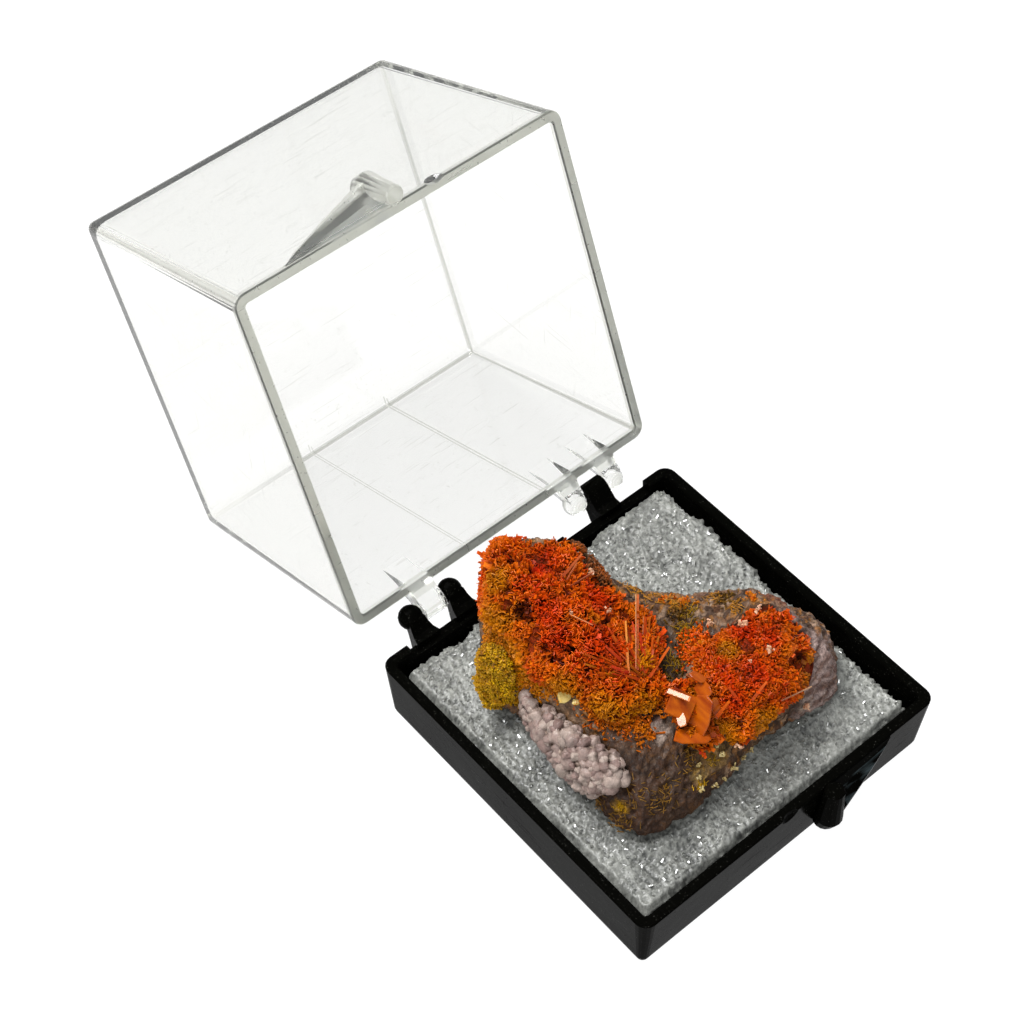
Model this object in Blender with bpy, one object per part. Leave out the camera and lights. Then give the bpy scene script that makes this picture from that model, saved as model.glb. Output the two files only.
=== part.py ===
"""A wulfenite specimen on a foam pad in a small hinged display box, with the clear lid swung open.

The origin is the middle of the tray's underside. X runs along the hinge, -Y is the latch side,
+Y the hinge side and +Z up. Sizes are in metres, written as millimetres times MM.
"""

import bisect
import math

import bmesh
import bpy
from mathutils import Matrix, Vector, noise

MM = 0.001

# The box
SIDE = 32.0 * MM  # outer side of tray and lid at their rims
TRAY_HIGH = 7.0 * MM
LID_DEEP = 24.8 * MM
TRAY_WALL = 0.95 * MM
LID_WALL = 0.9 * MM
TRAY_FLOOR = 1.1 * MM
LID_END = 1.0 * MM
TRAY_TAPER = 0.45 * MM  # how far each wall leans in, from rim to closed end
LID_TAPER = 0.35 * MM
CORNER = 1.1 * MM  # radius of the upright corners
END_ROUND = 0.8 * MM  # rounding round the closed end
RIM_ROUND = 0.12 * MM
RIM_GAP = 0.2 * MM  # between the two rims when the box is shut

# The hinge: each half has two arms with ball ends at one side, and one lug at the other
HINGE_OUT = 1.9 * MM  # from the outer walls to the hinge axis
HINGE_AT = 9.1 * MM  # from the middle to each hinge
ARM_AT = 2.1 * MM  # from a hinge's middle to each ball
BALL = 1.08 * MM
SOCKET = 1.3 * MM
ARM_HALF = 0.55 * MM  # half width of an arm at its ball
ARM_FLARE = 0.28  # how fast an arm widens towards its wall
LUG_HALF = 1.1 * MM
LUG_ROUND = 1.0 * MM
ROOT_DEEP = 4.3 * MM  # how far an arm or lug runs down its wall
ROOT_INTO = 0.5 * MM  # how far its root reaches into the wall
NOTCH_DEEP = 0.9 * MM  # the tray's hinge wall is lower beside the hinges
NOTCH_FROM = 3.9 * MM
NOTCH_TO = 13.2 * MM

# The latch: each half has a peg and a ramp that grows out of the wall towards the peg
PEG_TOP = 0.82 * MM
PEG_FOOT = 1.12 * MM
PEG_OUT = 0.85 * MM
PEG_ABOVE = 0.5 * MM  # how far a peg stands past its own rim
PEG_DEEP = 5.0 * MM
SCOOP = 1.35 * MM  # radius of the hollow that takes the other half's peg
SCOOP_OUT = 1.0 * MM
TRAY_PEG_AT = 3.4 * MM
TRAY_RAMP_END = 10.6 * MM
LID_PEG_AT = -0.6 * MM
LID_RAMP_END = -10.8 * MM
RAMP_OUT = 1.6 * MM
RAMP_DEEP = 4.6 * MM
RAMP_THIN = 0.6 * MM

# The pad and the specimen
GAP = 0.3 * MM  # between pieces that touch
PAD_SIDE = 29.2 * MM
PAD_TOP = 6.1 * MM
PAD_SWELL = 0.9 * MM  # the pad stands higher in the back corner
SPECIMEN_TURN = math.radians(-40.0)  # from the hinge's direction to the specimen's width
SPECIMEN_FOOT = PAD_TOP + GAP

# Sections across the specimen from left to right, in millimetres: place across, front foot,
# ridge, back foot, and height of the ridge over the pad
SECTIONS = (
    (-14.2, -0.6, 2.8, 6.0, 5.2),
    (-13.4, -2.0, 4.8, 6.8, 9.8),
    (-11.2, -3.4, 5.4, 7.8, 10.6),
    (-9.0, -6.0, 5.0, 8.4, 9.9),
    (-6.5, -9.6, 4.4, 8.4, 9.0),
    (-4.2, -13.4, 2.8, 7.6, 7.8),
    (-1.5, -14.5, 2.0, 6.8, 6.8),
    (2.0, -12.6, 1.6, 6.2, 6.5),
    (5.0, -9.6, 1.8, 6.2, 6.9),
    (8.5, -5.6, 1.8, 6.0, 7.0),
    (11.5, -3.6, 1.4, 5.0, 6.0),
    (13.6, -2.4, 0.8, 3.4, 4.2),
    (14.5, -1.2, 0.4, 1.8, 1.8),
)
FRONT_POWER = 2.3  # how full the front face bulges
BACK_POWER = 2.8
ROUGH = 0.45 * MM  # how far lumps stand out of the rock
ROUGH_SCALE = 3.2 * MM
ROCK_ROWS = 36
ROCK_COLUMNS = 20
TURN_REACH = 9.0  # about how many millimetres of surface one radian of turn spans

# Outlines of the growths on the rock: (place across in millimetres, turn in radians)
LEFT_OUTLINE = (
    (-12.9, 1.95), (-11.0, 2.05), (-9.0, 2.1), (-7.0, 2.0), (-5.3, 1.75), (-3.2, 1.68), (-1.4, 1.6),
    (0.0, 1.5), (0.3, 1.33), (-0.6, 1.12), (-2.2, 1.05), (-4.0, 0.92), (-5.8, 0.86), (-7.9, 0.74),
    (-9.8, 0.64), (-11.1, 0.75), (-12.4, 0.84), (-13.4, 1.0), (-13.7, 1.35), (-13.5, 1.75),
)
RIGHT_OUTLINE = (
    (2.8, 1.4), (4.5, 1.42), (6.4, 1.58), (9.0, 1.66), (10.9, 1.52), (12.1, 1.16), (11.6, 0.68),
    (9.8, 0.48), (7.3, 0.44), (5.4, 0.52), (4.2, 0.76), (3.2, 1.02), (2.7, 1.24),
)
PLATES_OUTLINE = ((0.6, 1.16), (1.6, 1.2), (2.4, 1.1), (2.7, 0.92), (3.5, 0.72), (2.2, 0.74), (1.0, 0.96))
CRUST_OUTLINE = (
    (-13.6, 0.72), (-12.7, 0.7), (-11.6, 0.62), (-11.2, 0.46), (-11.6, 0.26), (-12.7, 0.12),
    (-13.5, 0.14), (-13.8, 0.42),
)
LUMP_OUTLINE = (
    (-10.6, 0.4), (-9.6, 0.44), (-8.2, 0.54), (-6.4, 0.64), (-4.9, 0.74), (-3.2, 0.76), (-3.1, 0.6),
    (-4.9, 0.28), (-5.9, 0.15), (-7.0, 0.15), (-8.5, 0.16), (-9.7, 0.16), (-10.7, 0.18),
)
GROWTH_GAP = 0.4 * MM  # from the rock to a growth's underside
GROWTH_EDGE = 0.3 * MM  # thickness of a growth at its border
LEFT_THICK = 1.25 * MM
RIGHT_THICK = 1.3 * MM
PLATES_THICK = 0.35 * MM
CRUST_THICK = 0.6 * MM
LUMP_THICK = 1.2 * MM
GROWTH_LUMP = 0.35  # share of the thickness that rises and falls
GROWTH_SCALE = 1.7 * MM

# Tabular crystals: place across, turn, side, thickness in millimetres, lean and spin in degrees
PLATES = (
    (1.3, 1.13, 2.5, 0.55, 24.0, 12.0),
    (1.6, 1.0, 2.3, 0.5, 50.0, 30.0),
    (2.5, 0.92, 2.6, 0.5, 62.0, -20.0),
    (2.9, 0.82, 2.4, 0.45, 38.0, 48.0),
)
PLATE_LIFT = 1.0 * MM
PLATE_CLEAR = 0.28 * MM  # between the rock and the tablets' roots

BLACK = (0.006, 0.007, 0.007, 1.0)
CLEAR = (0.93, 0.94, 0.91, 1.0)
FOAM = (0.50, 0.50, 0.49, 1.0)
ROCK = (0.16, 0.09, 0.08, 1.0)
ORANGE = (0.75, 0.12, 0.01, 1.0)
OLIVE = (0.42, 0.27, 0.01, 1.0)
PINK = (0.55, 0.44, 0.42, 1.0)


def clear_scene():
    for thing in list(bpy.data.objects):
        bpy.data.objects.remove(thing, do_unlink=True)


def finish(name, color, roughness, transmission=0.0):
    """A plain surface finish."""
    material = bpy.data.materials.new(name)
    material.use_nodes = True
    shader = material.node_tree.nodes["Principled BSDF"]
    shader.inputs["Base Color"].default_value = color
    shader.inputs["Roughness"].default_value = roughness
    shader.inputs["Transmission Weight"].default_value = transmission
    return material


def solid(name, points, faces, material=None):
    """An object from points and faces, with its faces turned outwards."""
    mesh = bpy.data.meshes.new(name)
    mesh.from_pydata([tuple(point) for point in points], [], faces)
    form = bmesh.new()
    form.from_mesh(mesh)
    bmesh.ops.recalc_face_normals(form, faces=form.faces)
    form.to_mesh(mesh)
    form.free()
    mesh.shade_smooth()
    mesh.set_sharp_from_angle(angle=math.radians(35))
    thing = bpy.data.objects.new(name, mesh)
    bpy.context.scene.collection.objects.link(thing)
    if material:
        mesh.materials.append(material)
    return thing


def combine(body, tool, operation):
    """Joins a helper shape to a body, or cuts it away, and hides the helper."""
    change = body.modifiers.new(tool.name, "BOOLEAN")
    change.operation = operation
    change.solver = "EXACT"
    change.object = tool
    tool.hide_render = True
    tool.display_type = "WIRE"


def loft(name, rings, material=None):
    """A closed solid through rings of equal length, with flat ends."""
    around = len(rings[0])
    points = [point for ring in rings for point in ring]
    faces = []
    for start in range(0, (len(rings) - 1) * around, around):
        for step in range(around):
            after = (step + 1) % around
            faces.append((start + step, start + after, start + around + after, start + around + step))
    faces.append(tuple(range(around)))
    faces.append(tuple(range(len(points) - around, len(points))))
    return solid(name, points, faces, material)


def sphere(name, center, radius):
    form = bmesh.new()
    place = Matrix.Translation(center)
    bmesh.ops.create_uvsphere(form, u_segments=20, v_segments=12, radius=radius, matrix=place)
    mesh = bpy.data.meshes.new(name)
    form.to_mesh(mesh)
    form.free()
    mesh.shade_smooth()
    thing = bpy.data.objects.new(name, mesh)
    bpy.context.scene.collection.objects.link(thing)
    return thing


def rounded_square(half, radius, steps=5):
    """Points round a square with rounded corners."""
    middle = half - radius
    points = []
    for quarter in range(4):
        center_x = middle if quarter in (0, 3) else -middle
        center_y = middle if quarter in (0, 1) else -middle
        for step in range(steps + 1):
            turn = (quarter + step / steps) * math.pi / 2
            points.append((center_x + radius * math.cos(turn), center_y + radius * math.sin(turn)))
    return points


def shell(name, deep, wall, end, taper, place, material):
    """One open half of the box. Depth 0 is its rim, and place turns (x, y, depth) into a point."""
    quarter = [step / 3 * math.pi / 2 for step in range(4)]
    inner_round = END_ROUND * 0.6
    rings = [
        (taper + END_ROUND * (1 - math.sin(turn)), deep - END_ROUND * (1 - math.cos(turn)))
        for turn in quarter
    ]
    rings += [(0.0, RIM_ROUND), (RIM_ROUND, 0.0), (wall - RIM_ROUND, 0.0), (wall, RIM_ROUND)]
    rings += [
        (
            wall + taper + inner_round * (1 - math.cos(turn)),
            deep - end - inner_round * (1 - math.sin(turn)),
        )
        for turn in quarter
    ]
    return loft(
        name,
        [
            [
                place(x, y, depth)
                for x, y in rounded_square(SIDE / 2 - inset, max(CORNER - inset, CORNER / 3))
            ]
            for inset, depth in rings
        ],
        material,
    )


def hinge_parts(name, arms_at, lug_at, place):
    """The arms with their ball ends and the lug, and the cutters for the lug's two sockets.

    A side outline is a list of (towards the own wall, down the own wall) from the hinge axis.
    """

    def at_axis(x, wallward, depth):
        return place(x, SIDE / 2 + HINGE_OUT - wallward, depth)

    wall = HINGE_OUT + ROOT_INTO
    root = [(wall, ROOT_DEEP), (wall, 0.25 * MM), (1.7 * MM, 0.25 * MM)]
    arm_side = [(0.0, 0.8 * MM), (0.5 * MM, 1.3 * MM), (1.2 * MM, 2.6 * MM), (1.95 * MM, ROOT_DEEP)]
    arm_side += root + [(1.25 * MM, -0.1 * MM), (0.9 * MM, -0.6 * MM), (0.0, -0.75 * MM)]
    parts = []
    for side in (-1, 1):
        middle = arms_at + side * ARM_AT
        rings = [
            [
                at_axis(middle + way * (ARM_HALF + ARM_FLARE * wallward), wallward, depth)
                for wallward, depth in arm_side
            ]
            for way in (-1, 1)
        ]
        parts.append(loft(f"{name}_arm_{side}", rings))
        parts.append(sphere(f"{name}_ball_{side}", at_axis(middle, 0.0, 0.0), BALL))
    lug_side = [
        (LUG_ROUND * math.cos(turn), LUG_ROUND * math.sin(turn))
        for turn in [math.radians(degrees) for degrees in range(-50, -261, -30)]
    ]
    lug_side += [(0.5 * MM, 1.5 * MM), (1.2 * MM, 2.7 * MM), (1.95 * MM, ROOT_DEEP)]
    lug_side += root + [(1.2 * MM, -0.2 * MM)]
    rings = [
        [at_axis(lug_at + way * LUG_HALF, wallward, depth) for wallward, depth in lug_side]
        for way in (-1, 1)
    ]
    parts.append(loft(f"{name}_lug", rings))
    sockets = [
        sphere(f"{name}_socket_{side}", at_axis(lug_at + side * ARM_AT, 0.0, 0.0), SOCKET)
        for side in (-1, 1)
    ]
    return parts, sockets


def latch_parts(name, peg_at, ramp_end, place):
    """The peg, and the scooped ramp that thins out along the wall."""

    def at_wall(x, outward, depth):
        return place(x, -SIDE / 2 - outward, depth)

    peg_rings = (
        (-PEG_ABOVE, PEG_TOP - 0.12 * MM, PEG_OUT),
        (0.12 * MM - PEG_ABOVE, PEG_TOP, PEG_OUT),
        (PEG_DEEP * 0.7, PEG_FOOT, PEG_OUT * 0.9),
        (PEG_DEEP * 0.9, PEG_FOOT * 0.9, PEG_OUT * 0.5),
        (PEG_DEEP, PEG_FOOT * 0.6, 0.0),
    )
    around = [step / 16 * math.tau for step in range(16)]
    rings = [
        [
            at_wall(peg_at + radius * math.cos(turn), out + radius * math.sin(turn), depth)
            for turn in around
        ]
        for depth, radius, out in peg_rings
    ]
    peg = loft(f"{name}_peg", rings)
    rings = []
    stations = 9
    for station in range(stations):
        share = station / (stations - 1)
        size = (1 - share) ** 0.85
        out = RAMP_OUT * size + 0.05 * MM
        deep = RAMP_THIN + (RAMP_DEEP - RAMP_THIN) * size
        inside = -0.4 * MM
        section = (
            (inside, 0.2 * MM),
            (0.03 * MM, 0.2 * MM),
            (0.3 * out, 0.34 * deep),
            (0.65 * out, 0.5 * deep),
            (out, 0.58 * deep),
            (0.97 * out, 0.7 * deep),
            (0.4 * out, 0.93 * deep),
            (inside, deep),
        )
        x = peg_at + (ramp_end - peg_at) * share
        rings.append([at_wall(x, outward, depth) for outward, depth in section])
    return [peg, loft(f"{name}_ramp", rings)]


def notch(name, low, high, place):
    """A cutter for a low stretch of the hinge wall."""
    near, far = SIDE / 2 - 2 * TRAY_WALL, SIDE / 2 + ROOT_INTO
    outline = ((low, near), (high, near), (high, far), (low, far))
    return loft(name, [[place(x, y, depth) for x, y in outline] for depth in (-NOTCH_DEEP, NOTCH_DEEP)])


def half_box(name, sizes, latch, arms_at, place, rim, material, notches=()):
    """One moulded half: its shell, its share of the hinge and its share of the latch.

    Place turns (x, y, depth from the hinge axis) into a point, and rim is the depth of the rim.
    """
    peg_at, ramp_end, scoop_at = latch

    def from_rim(x, y, depth):
        return place(x, y, depth + rim)

    body = shell(name, *sizes, from_rim, material)
    for number, (low, high) in enumerate(notches):
        combine(body, notch(f"{name}_notch_{number}", low, high, from_rim), "DIFFERENCE")
    scoop_center = from_rim(scoop_at, -SIDE / 2 - SCOOP_OUT, 0.1 * MM)
    combine(body, sphere(f"{name}_scoop", scoop_center, SCOOP), "DIFFERENCE")
    added, sockets = hinge_parts(name, arms_at, -arms_at, place)
    added += latch_parts(name, peg_at, ramp_end, from_rim)
    for tool in added:
        combine(body, tool, "UNION")
    for tool in sockets:
        combine(body, tool, "DIFFERENCE")
    return body


def make_tray():
    def place(x, y, depth):
        return Vector((x, y, TRAY_HIGH - depth))

    sizes = (TRAY_HIGH, TRAY_WALL, TRAY_FLOOR, TRAY_TAPER)
    latch = (TRAY_PEG_AT, TRAY_RAMP_END, LID_PEG_AT)
    notches = ((-NOTCH_TO, -NOTCH_FROM), (NOTCH_FROM, NOTCH_TO))
    black = finish("black_plastic", BLACK, 0.22)
    half_box("tray", sizes, latch, -HINGE_AT, place, 0.0, black, notches)


def open_angle():
    """How far the lid swings from shut until its closed end rests on the table."""
    beside = HINGE_OUT + LID_TAPER + END_ROUND
    beyond = LID_DEEP + RIM_GAP - END_ROUND
    drop = END_ROUND - TRAY_HIGH
    return math.atan2(beside, beyond) + math.acos(drop / math.hypot(beside, beyond))


def make_lid():
    """The lid is drawn shut, round its hinge axis, and its parent then swings it open."""
    axis_y = SIDE / 2 + HINGE_OUT

    def place(x, y, depth):
        return Vector((x, y - axis_y, depth))

    hinge = bpy.data.objects.new("lid_hinge", None)
    bpy.context.scene.collection.objects.link(hinge)
    hinge.location = (0.0, axis_y, TRAY_HIGH)
    hinge.rotation_euler = (-open_angle(), 0.0, 0.0)
    sizes = (LID_DEEP, LID_WALL, LID_END, LID_TAPER)
    latch = (LID_PEG_AT, LID_RAMP_END, TRAY_PEG_AT)
    clear = finish("clear_plastic", CLEAR, 0.03, transmission=1.0)
    lid = half_box("lid", sizes, latch, HINGE_AT, place, RIM_GAP, clear)
    for thing in [lid] + [change.object for change in lid.modifiers]:
        thing.parent = hinge


def pad_height(x, y):
    """The pad's top is level at the front and swells towards the back corner."""
    share = ((x + y) / math.sqrt(2) - 7.0 * MM) / (12.0 * MM)
    share = min(max(share, 0.0), 1.0)
    return PAD_TOP + PAD_SWELL * share * share * (3 - 2 * share)


def make_pad():
    steps = 10
    low = TRAY_FLOOR + GAP
    half = PAD_SIDE / 2
    foot_half = half - TRAY_TAPER
    places = [step / steps * 2 - 1 for step in range(steps + 1)]
    points = [
        (x * half, y * half, pad_height(x * half, y * half)) for y in places for x in places
    ]
    points += [(x * foot_half, y * foot_half, low) for y in places for x in places]
    row = steps + 1
    below = row * row
    faces = []
    for j in range(steps):
        for i in range(steps):
            corner = j * row + i
            top = (corner, corner + 1, corner + row + 1, corner + row)
            faces.append(top)
            faces.append(tuple(point + below for point in reversed(top)))
    border = [i for i in range(steps)]
    border += [j * row + steps for j in range(steps)]
    border += [steps * row + i for i in range(steps, 0, -1)]
    border += [j * row for j in range(steps, 0, -1)]
    for here, after in zip(border, border[1:] + border[:1]):
        faces.append((here, after, after + below, here + below))
    solid("foam_pad", points, faces, finish("foam", FOAM, 0.7))


def through(values, at):
    """One column of SECTIONS at any place across, on a smooth curve through its values."""
    places = [section[0] for section in SECTIONS]
    last = len(places) - 1

    def slope(index):
        before, after = max(index - 1, 0), min(index + 1, last)
        return (values[after] - values[before]) / (places[after] - places[before])

    index = min(max(bisect.bisect_right(places, at) - 1, 0), last - 1)
    width = places[index + 1] - places[index]
    share = (at - places[index]) / width
    square, cube = share * share, share * share * share
    return (
        (2 * cube - 3 * square + 1) * values[index]
        + (cube - 2 * square + share) * width * slope(index)
        + (3 * square - 2 * cube) * values[index + 1]
        + (cube - square) * width * slope(index + 1)
    )


def smooth_rock(across, turn):
    """A point of the rock without its roughness. Turn runs from 0 at the front foot to pi behind."""
    front, ridge, back, high = (
        through([section[column] for section in SECTIONS], across) for column in (1, 2, 3, 4)
    )
    power, reach = (FRONT_POWER, ridge - front) if turn < math.pi / 2 else (BACK_POWER, back - ridge)
    level = math.cos(turn)
    away = ridge - math.copysign(abs(level) ** (2 / power), level) * reach
    rise = abs(math.sin(turn)) ** (2 / power) * high
    return Vector((across * MM, away * MM, SPECIMEN_FOOT + rise * MM))


def rock_point(across, turn, lift=0.0):
    """A point on the rock's rough surface, or lifted off it by a distance."""
    step = 0.02
    low_turn, high_turn = max(turn - step, 0.0), min(turn + step, math.pi)
    first, last = SECTIONS[0][0], SECTIONS[-1][0]
    low, high = max(across - 0.2, first), min(across + 0.2, last)
    along = smooth_rock(high, turn) - smooth_rock(low, turn)
    over = smooth_rock(across, high_turn) - smooth_rock(across, low_turn)
    outward = along.cross(over)
    outward.normalize()
    point = smooth_rock(across, turn)
    lump = noise.noise(point / ROUGH_SCALE) + 0.25 * noise.noise(point * 2.3 / ROUGH_SCALE)
    fade = min(1.0, 3.0 * math.sin(turn))
    point += outward * (ROUGH * lump * fade + lift)
    point.z = max(point.z, SPECIMEN_FOOT)
    return point


def rock_form(name, lift=0.0, material=None):
    """The rock as a solid, or the same form grown outwards by a distance."""
    first, last = SECTIONS[0][0], SECTIONS[-1][0]
    rings = []
    for row in range(ROCK_ROWS):
        share = (1 - math.cos(row / (ROCK_ROWS - 1) * math.pi)) / 2
        across = first + (last - first) * share
        turns = [column / (ROCK_COLUMNS - 1) * math.pi for column in range(ROCK_COLUMNS)]
        rings.append([rock_point(across, turn, lift) for turn in turns])
    return loft(name, rings, material)


def make_rock():
    rock = rock_form("matrix", material=finish("rock", ROCK, 0.85))
    rock.rotation_euler.z = SPECIMEN_TURN


def round_outline(outline, count):
    """Evenly shared points on a smooth closed curve through an outline."""
    points = []
    for step in range(count):
        place = step / count * len(outline)
        index = int(place)
        share = place - index
        near = [Vector(outline[(index + offset) % len(outline)]) for offset in (-1, 0, 1, 2)]
        bend = (near[2] - near[0]) * share + (2 * near[0] - 5 * near[1] + 4 * near[2] - near[3]) * share**2
        bend += (3 * near[1] - near[0] - 3 * near[2] + near[3]) * share**3
        points.append(near[1] + bend / 2)
    return points


def growth(name, outline, thick, around, rings, material):
    """A crust that follows the rock a small gap above it, thick in the middle and thin at its edge."""
    border = round_outline(outline, around)
    middle = sum(border, Vector((0.0, 0.0))) / around
    points = []
    for outside in (True, False):
        for ring in range(1, rings + 1):
            out = ring / rings
            for edge in border:
                across, turn = middle + (edge - middle) * out
                lift = GROWTH_GAP
                if outside:
                    spot = Vector((across, turn * TURN_REACH, 0.0)) * (MM / GROWTH_SCALE)
                    full = thick * math.sqrt(1 - out * out)
                    lift += GROWTH_EDGE + full * (1 + GROWTH_LUMP * noise.noise(spot))
                points.append(rock_point(across, turn, lift))
        lift = GROWTH_GAP + (GROWTH_EDGE + thick if outside else 0.0)
        points.append(rock_point(*middle, lift))
    faces = []
    sheet = rings * around + 1
    for start in (0, sheet):
        for step in range(around):
            after = (step + 1) % around
            faces.append((start + step, start + after, start + sheet - 1))
            for ring in range(rings - 1):
                inner, outer = start + ring * around, start + (ring + 1) * around
                faces.append((inner + step, outer + step, outer + after, inner + after))
    rim = (rings - 1) * around
    for step in range(around):
        after = (step + 1) % around
        faces.append((rim + step, rim + after, sheet + rim + after, sheet + rim + step))
    crust = solid(name, points, faces, material)
    crust.rotation_euler.z = SPECIMEN_TURN
    return crust


def plate(name, across, turn, side, thick, lean, spin):
    """A square tablet with bevelled edges, standing on the rock."""
    half, bevel = side / 2 * MM, 0.12 * MM
    rings = []
    for level, inset in ((-0.5, bevel), (-0.2, 0.0), (0.2, 0.0), (0.5, bevel)):
        reach = half - inset
        corners = ((reach, reach), (-reach, reach), (-reach, -reach), (reach, -reach))
        rings.append([Vector((x, y, level * thick * MM)) for x, y in corners])
    tablet = loft(name, rings)
    tablet.location = rock_point(across, turn, PLATE_LIFT)
    tablet.rotation_euler = (math.radians(lean), 0.0, math.radians(spin))
    return tablet


def make_growths():
    orange = finish("wulfenite", ORANGE, 0.3)
    growth("wulfenite_left", LEFT_OUTLINE, LEFT_THICK, 40, 7, orange)
    growth("wulfenite_right", RIGHT_OUTLINE, RIGHT_THICK, 32, 6, orange)
    growth("mimetite_crust", CRUST_OUTLINE, CRUST_THICK, 20, 4, finish("mimetite", OLIVE, 0.5))
    growth("pale_lump", LUMP_OUTLINE, LUMP_THICK, 26, 5, finish("pale_mineral", PINK, 0.6))
    root = growth("wulfenite_plates", PLATES_OUTLINE, PLATES_THICK, 16, 3, orange)
    for number, sizes in enumerate(PLATES):
        tablet = plate(f"tablet_{number}", *sizes)
        combine(root, tablet, "UNION")
        tablet.parent = root
    under = rock_form("under_the_tablets", PLATE_CLEAR)
    combine(root, under, "DIFFERENCE")
    under.parent = root


clear_scene()
make_tray()
make_lid()
make_pad()
make_rock()
make_growths()
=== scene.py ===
# %% [markdown]
# # Wulfenite in a thumbnail box
#
# The object is a lump of purple-brown rock with orange-red wulfenite on it. It lies on a foam pad
# in the black tray of a small hinged box, with the clear lid swung open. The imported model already
# holds every part at its true size and place, so this lesson only builds the looks round it.

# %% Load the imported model
import math

import bmesh
import bpy
import numpy as np
from mathutils import Matrix, Vector, noise
from mathutils.bvhtree import BVHTree


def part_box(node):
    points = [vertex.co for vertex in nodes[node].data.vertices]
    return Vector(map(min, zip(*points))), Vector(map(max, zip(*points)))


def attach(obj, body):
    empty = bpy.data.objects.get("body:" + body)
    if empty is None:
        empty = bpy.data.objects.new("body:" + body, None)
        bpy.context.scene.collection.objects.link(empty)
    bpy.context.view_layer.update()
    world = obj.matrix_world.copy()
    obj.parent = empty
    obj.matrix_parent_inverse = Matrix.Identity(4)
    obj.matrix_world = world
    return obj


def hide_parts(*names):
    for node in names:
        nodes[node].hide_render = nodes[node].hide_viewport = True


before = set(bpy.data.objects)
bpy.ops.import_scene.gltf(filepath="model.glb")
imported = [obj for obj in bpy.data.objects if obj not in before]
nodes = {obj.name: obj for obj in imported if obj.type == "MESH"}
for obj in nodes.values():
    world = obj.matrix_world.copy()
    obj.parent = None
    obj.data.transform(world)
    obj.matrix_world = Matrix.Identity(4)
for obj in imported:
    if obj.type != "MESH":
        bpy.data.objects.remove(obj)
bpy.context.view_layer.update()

MM = 0.001
rng = np.random.default_rng(11)
print("parts:", sorted(nodes))

# %% [markdown]
# ## The camera
#
# The photograph looks down on the box from its front left corner with a long lens. The camera's
# place was found by fitting the corners of the box, which is a plain cube when it is shut. A roll
# of less than a degree levels it as the photograph is. Later cells use the same numbers to put a
# detail where the photograph shows it, by sending a line from the camera through a pixel.

# %% Camera
PHOTO_SIDE = 1024
FOCAL_PIXELS = 2207.97
azimuth, elevation, roll = (math.radians(angle) for angle in (-40.008, 52.647, -0.688))
aim = Vector((5.7475, 24.8329, 0.0)) * MM
camera_away = 198.694 * MM

to_camera = Vector((
    math.sin(azimuth) * math.cos(elevation),
    -math.cos(azimuth) * math.cos(elevation),
    math.sin(elevation),
))
level_right = Vector((math.cos(azimuth), math.sin(azimuth), 0.0))
level_up = to_camera.cross(level_right)
view_right = math.cos(roll) * level_right + math.sin(roll) * level_up
view_up = math.cos(roll) * level_up - math.sin(roll) * level_right
eye = aim + to_camera * camera_away


def in_scene(name, data):
    """A new object that is linked to the scene."""
    made = bpy.data.objects.new(name, data)
    bpy.context.scene.collection.objects.link(made)
    return made


lens = bpy.data.cameras.new("camera")
lens.sensor_width = 36.0
lens.lens = FOCAL_PIXELS / PHOTO_SIDE * lens.sensor_width
lens.clip_start = 5 * MM
camera = in_scene("camera", lens)
camera.matrix_world = Matrix((
    (view_right.x, view_up.x, to_camera.x, eye.x),
    (view_right.y, view_up.y, to_camera.y, eye.y),
    (view_right.z, view_up.z, to_camera.z, eye.z),
    (0.0, 0.0, 0.0, 1.0),
))
bpy.context.scene.camera = camera
print("lens", round(lens.lens, 1), "mm")

# %% [markdown]
# ## Colours
#
# Colours are written as they look on a screen, from 0 to 255, and turned into the linear light
# that the renderer works in. The picture is shown without a film-like curve, because the crystals
# are strongly coloured and such a curve would wash them out.

# %% Colours and viewing
def screen(red, green, blue):
    """Linear light for a colour as it looks on a screen."""
    shares = np.array([red, green, blue]) / 255
    return np.where(shares <= 0.04045, shares / 12.92, ((shares + 0.055) / 1.055) ** 2.4)


bpy.context.scene.view_settings.view_transform = "Standard"
print("mid grey is", screen(128, 128, 128).round(3)[0])

# %% [markdown]
# ## The table
#
# The box stands on a white table. Lights that are strong enough to make it white would wash out
# the crystals, so the table is dark and glows by itself. That is a simple way to get the
# shadowless white of a product photograph. It is large, so that its far edge stays out of sight.

# %% Table
TABLE_HALF, TABLE_DROP = 8.0, 0.02 * MM
table_mesh = bpy.data.meshes.new("table")
table_corners = [
    (x * TABLE_HALF, y * TABLE_HALF, -TABLE_DROP) for x, y in ((-1, -1), (1, -1), (1, 1), (-1, 1))
]
table_mesh.from_pydata(table_corners, [], [(0, 1, 2, 3)])
table = in_scene("table", table_mesh)
table_finish = bpy.data.materials.new("white_table")
table_finish.use_nodes = True
table_skin = table_finish.node_tree.nodes["Principled BSDF"]
table_skin.inputs["Base Color"].default_value = (0.11, 0.11, 0.11, 1.0)
table_skin.inputs["Roughness"].default_value = 0.9
table_skin.inputs["Specular IOR Level"].default_value = 0.0
table_skin.inputs["Emission Color"].default_value = (1.0, 1.0, 1.0, 1.0)
table_skin.inputs["Emission Strength"].default_value = 0.96
table_mesh.materials.append(table_finish)
print("table:", 2 * TABLE_HALF, "m wide")

# %% [markdown]
# ## Lights and room
#
# A soft light hangs over the box and a second one fills in from the front left. The room around
# is a plain pale grey, darker than the lights, so that clear plastic and polished faces have
# something to show at their edges. Light may bounce more often than usual, because it is led a
# long way inside the walls of the clear lid. A face that looks halfway between the overhead light
# and the eye mirrors the one into the other: later cells turn a few crystals and flakes that way.

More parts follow.
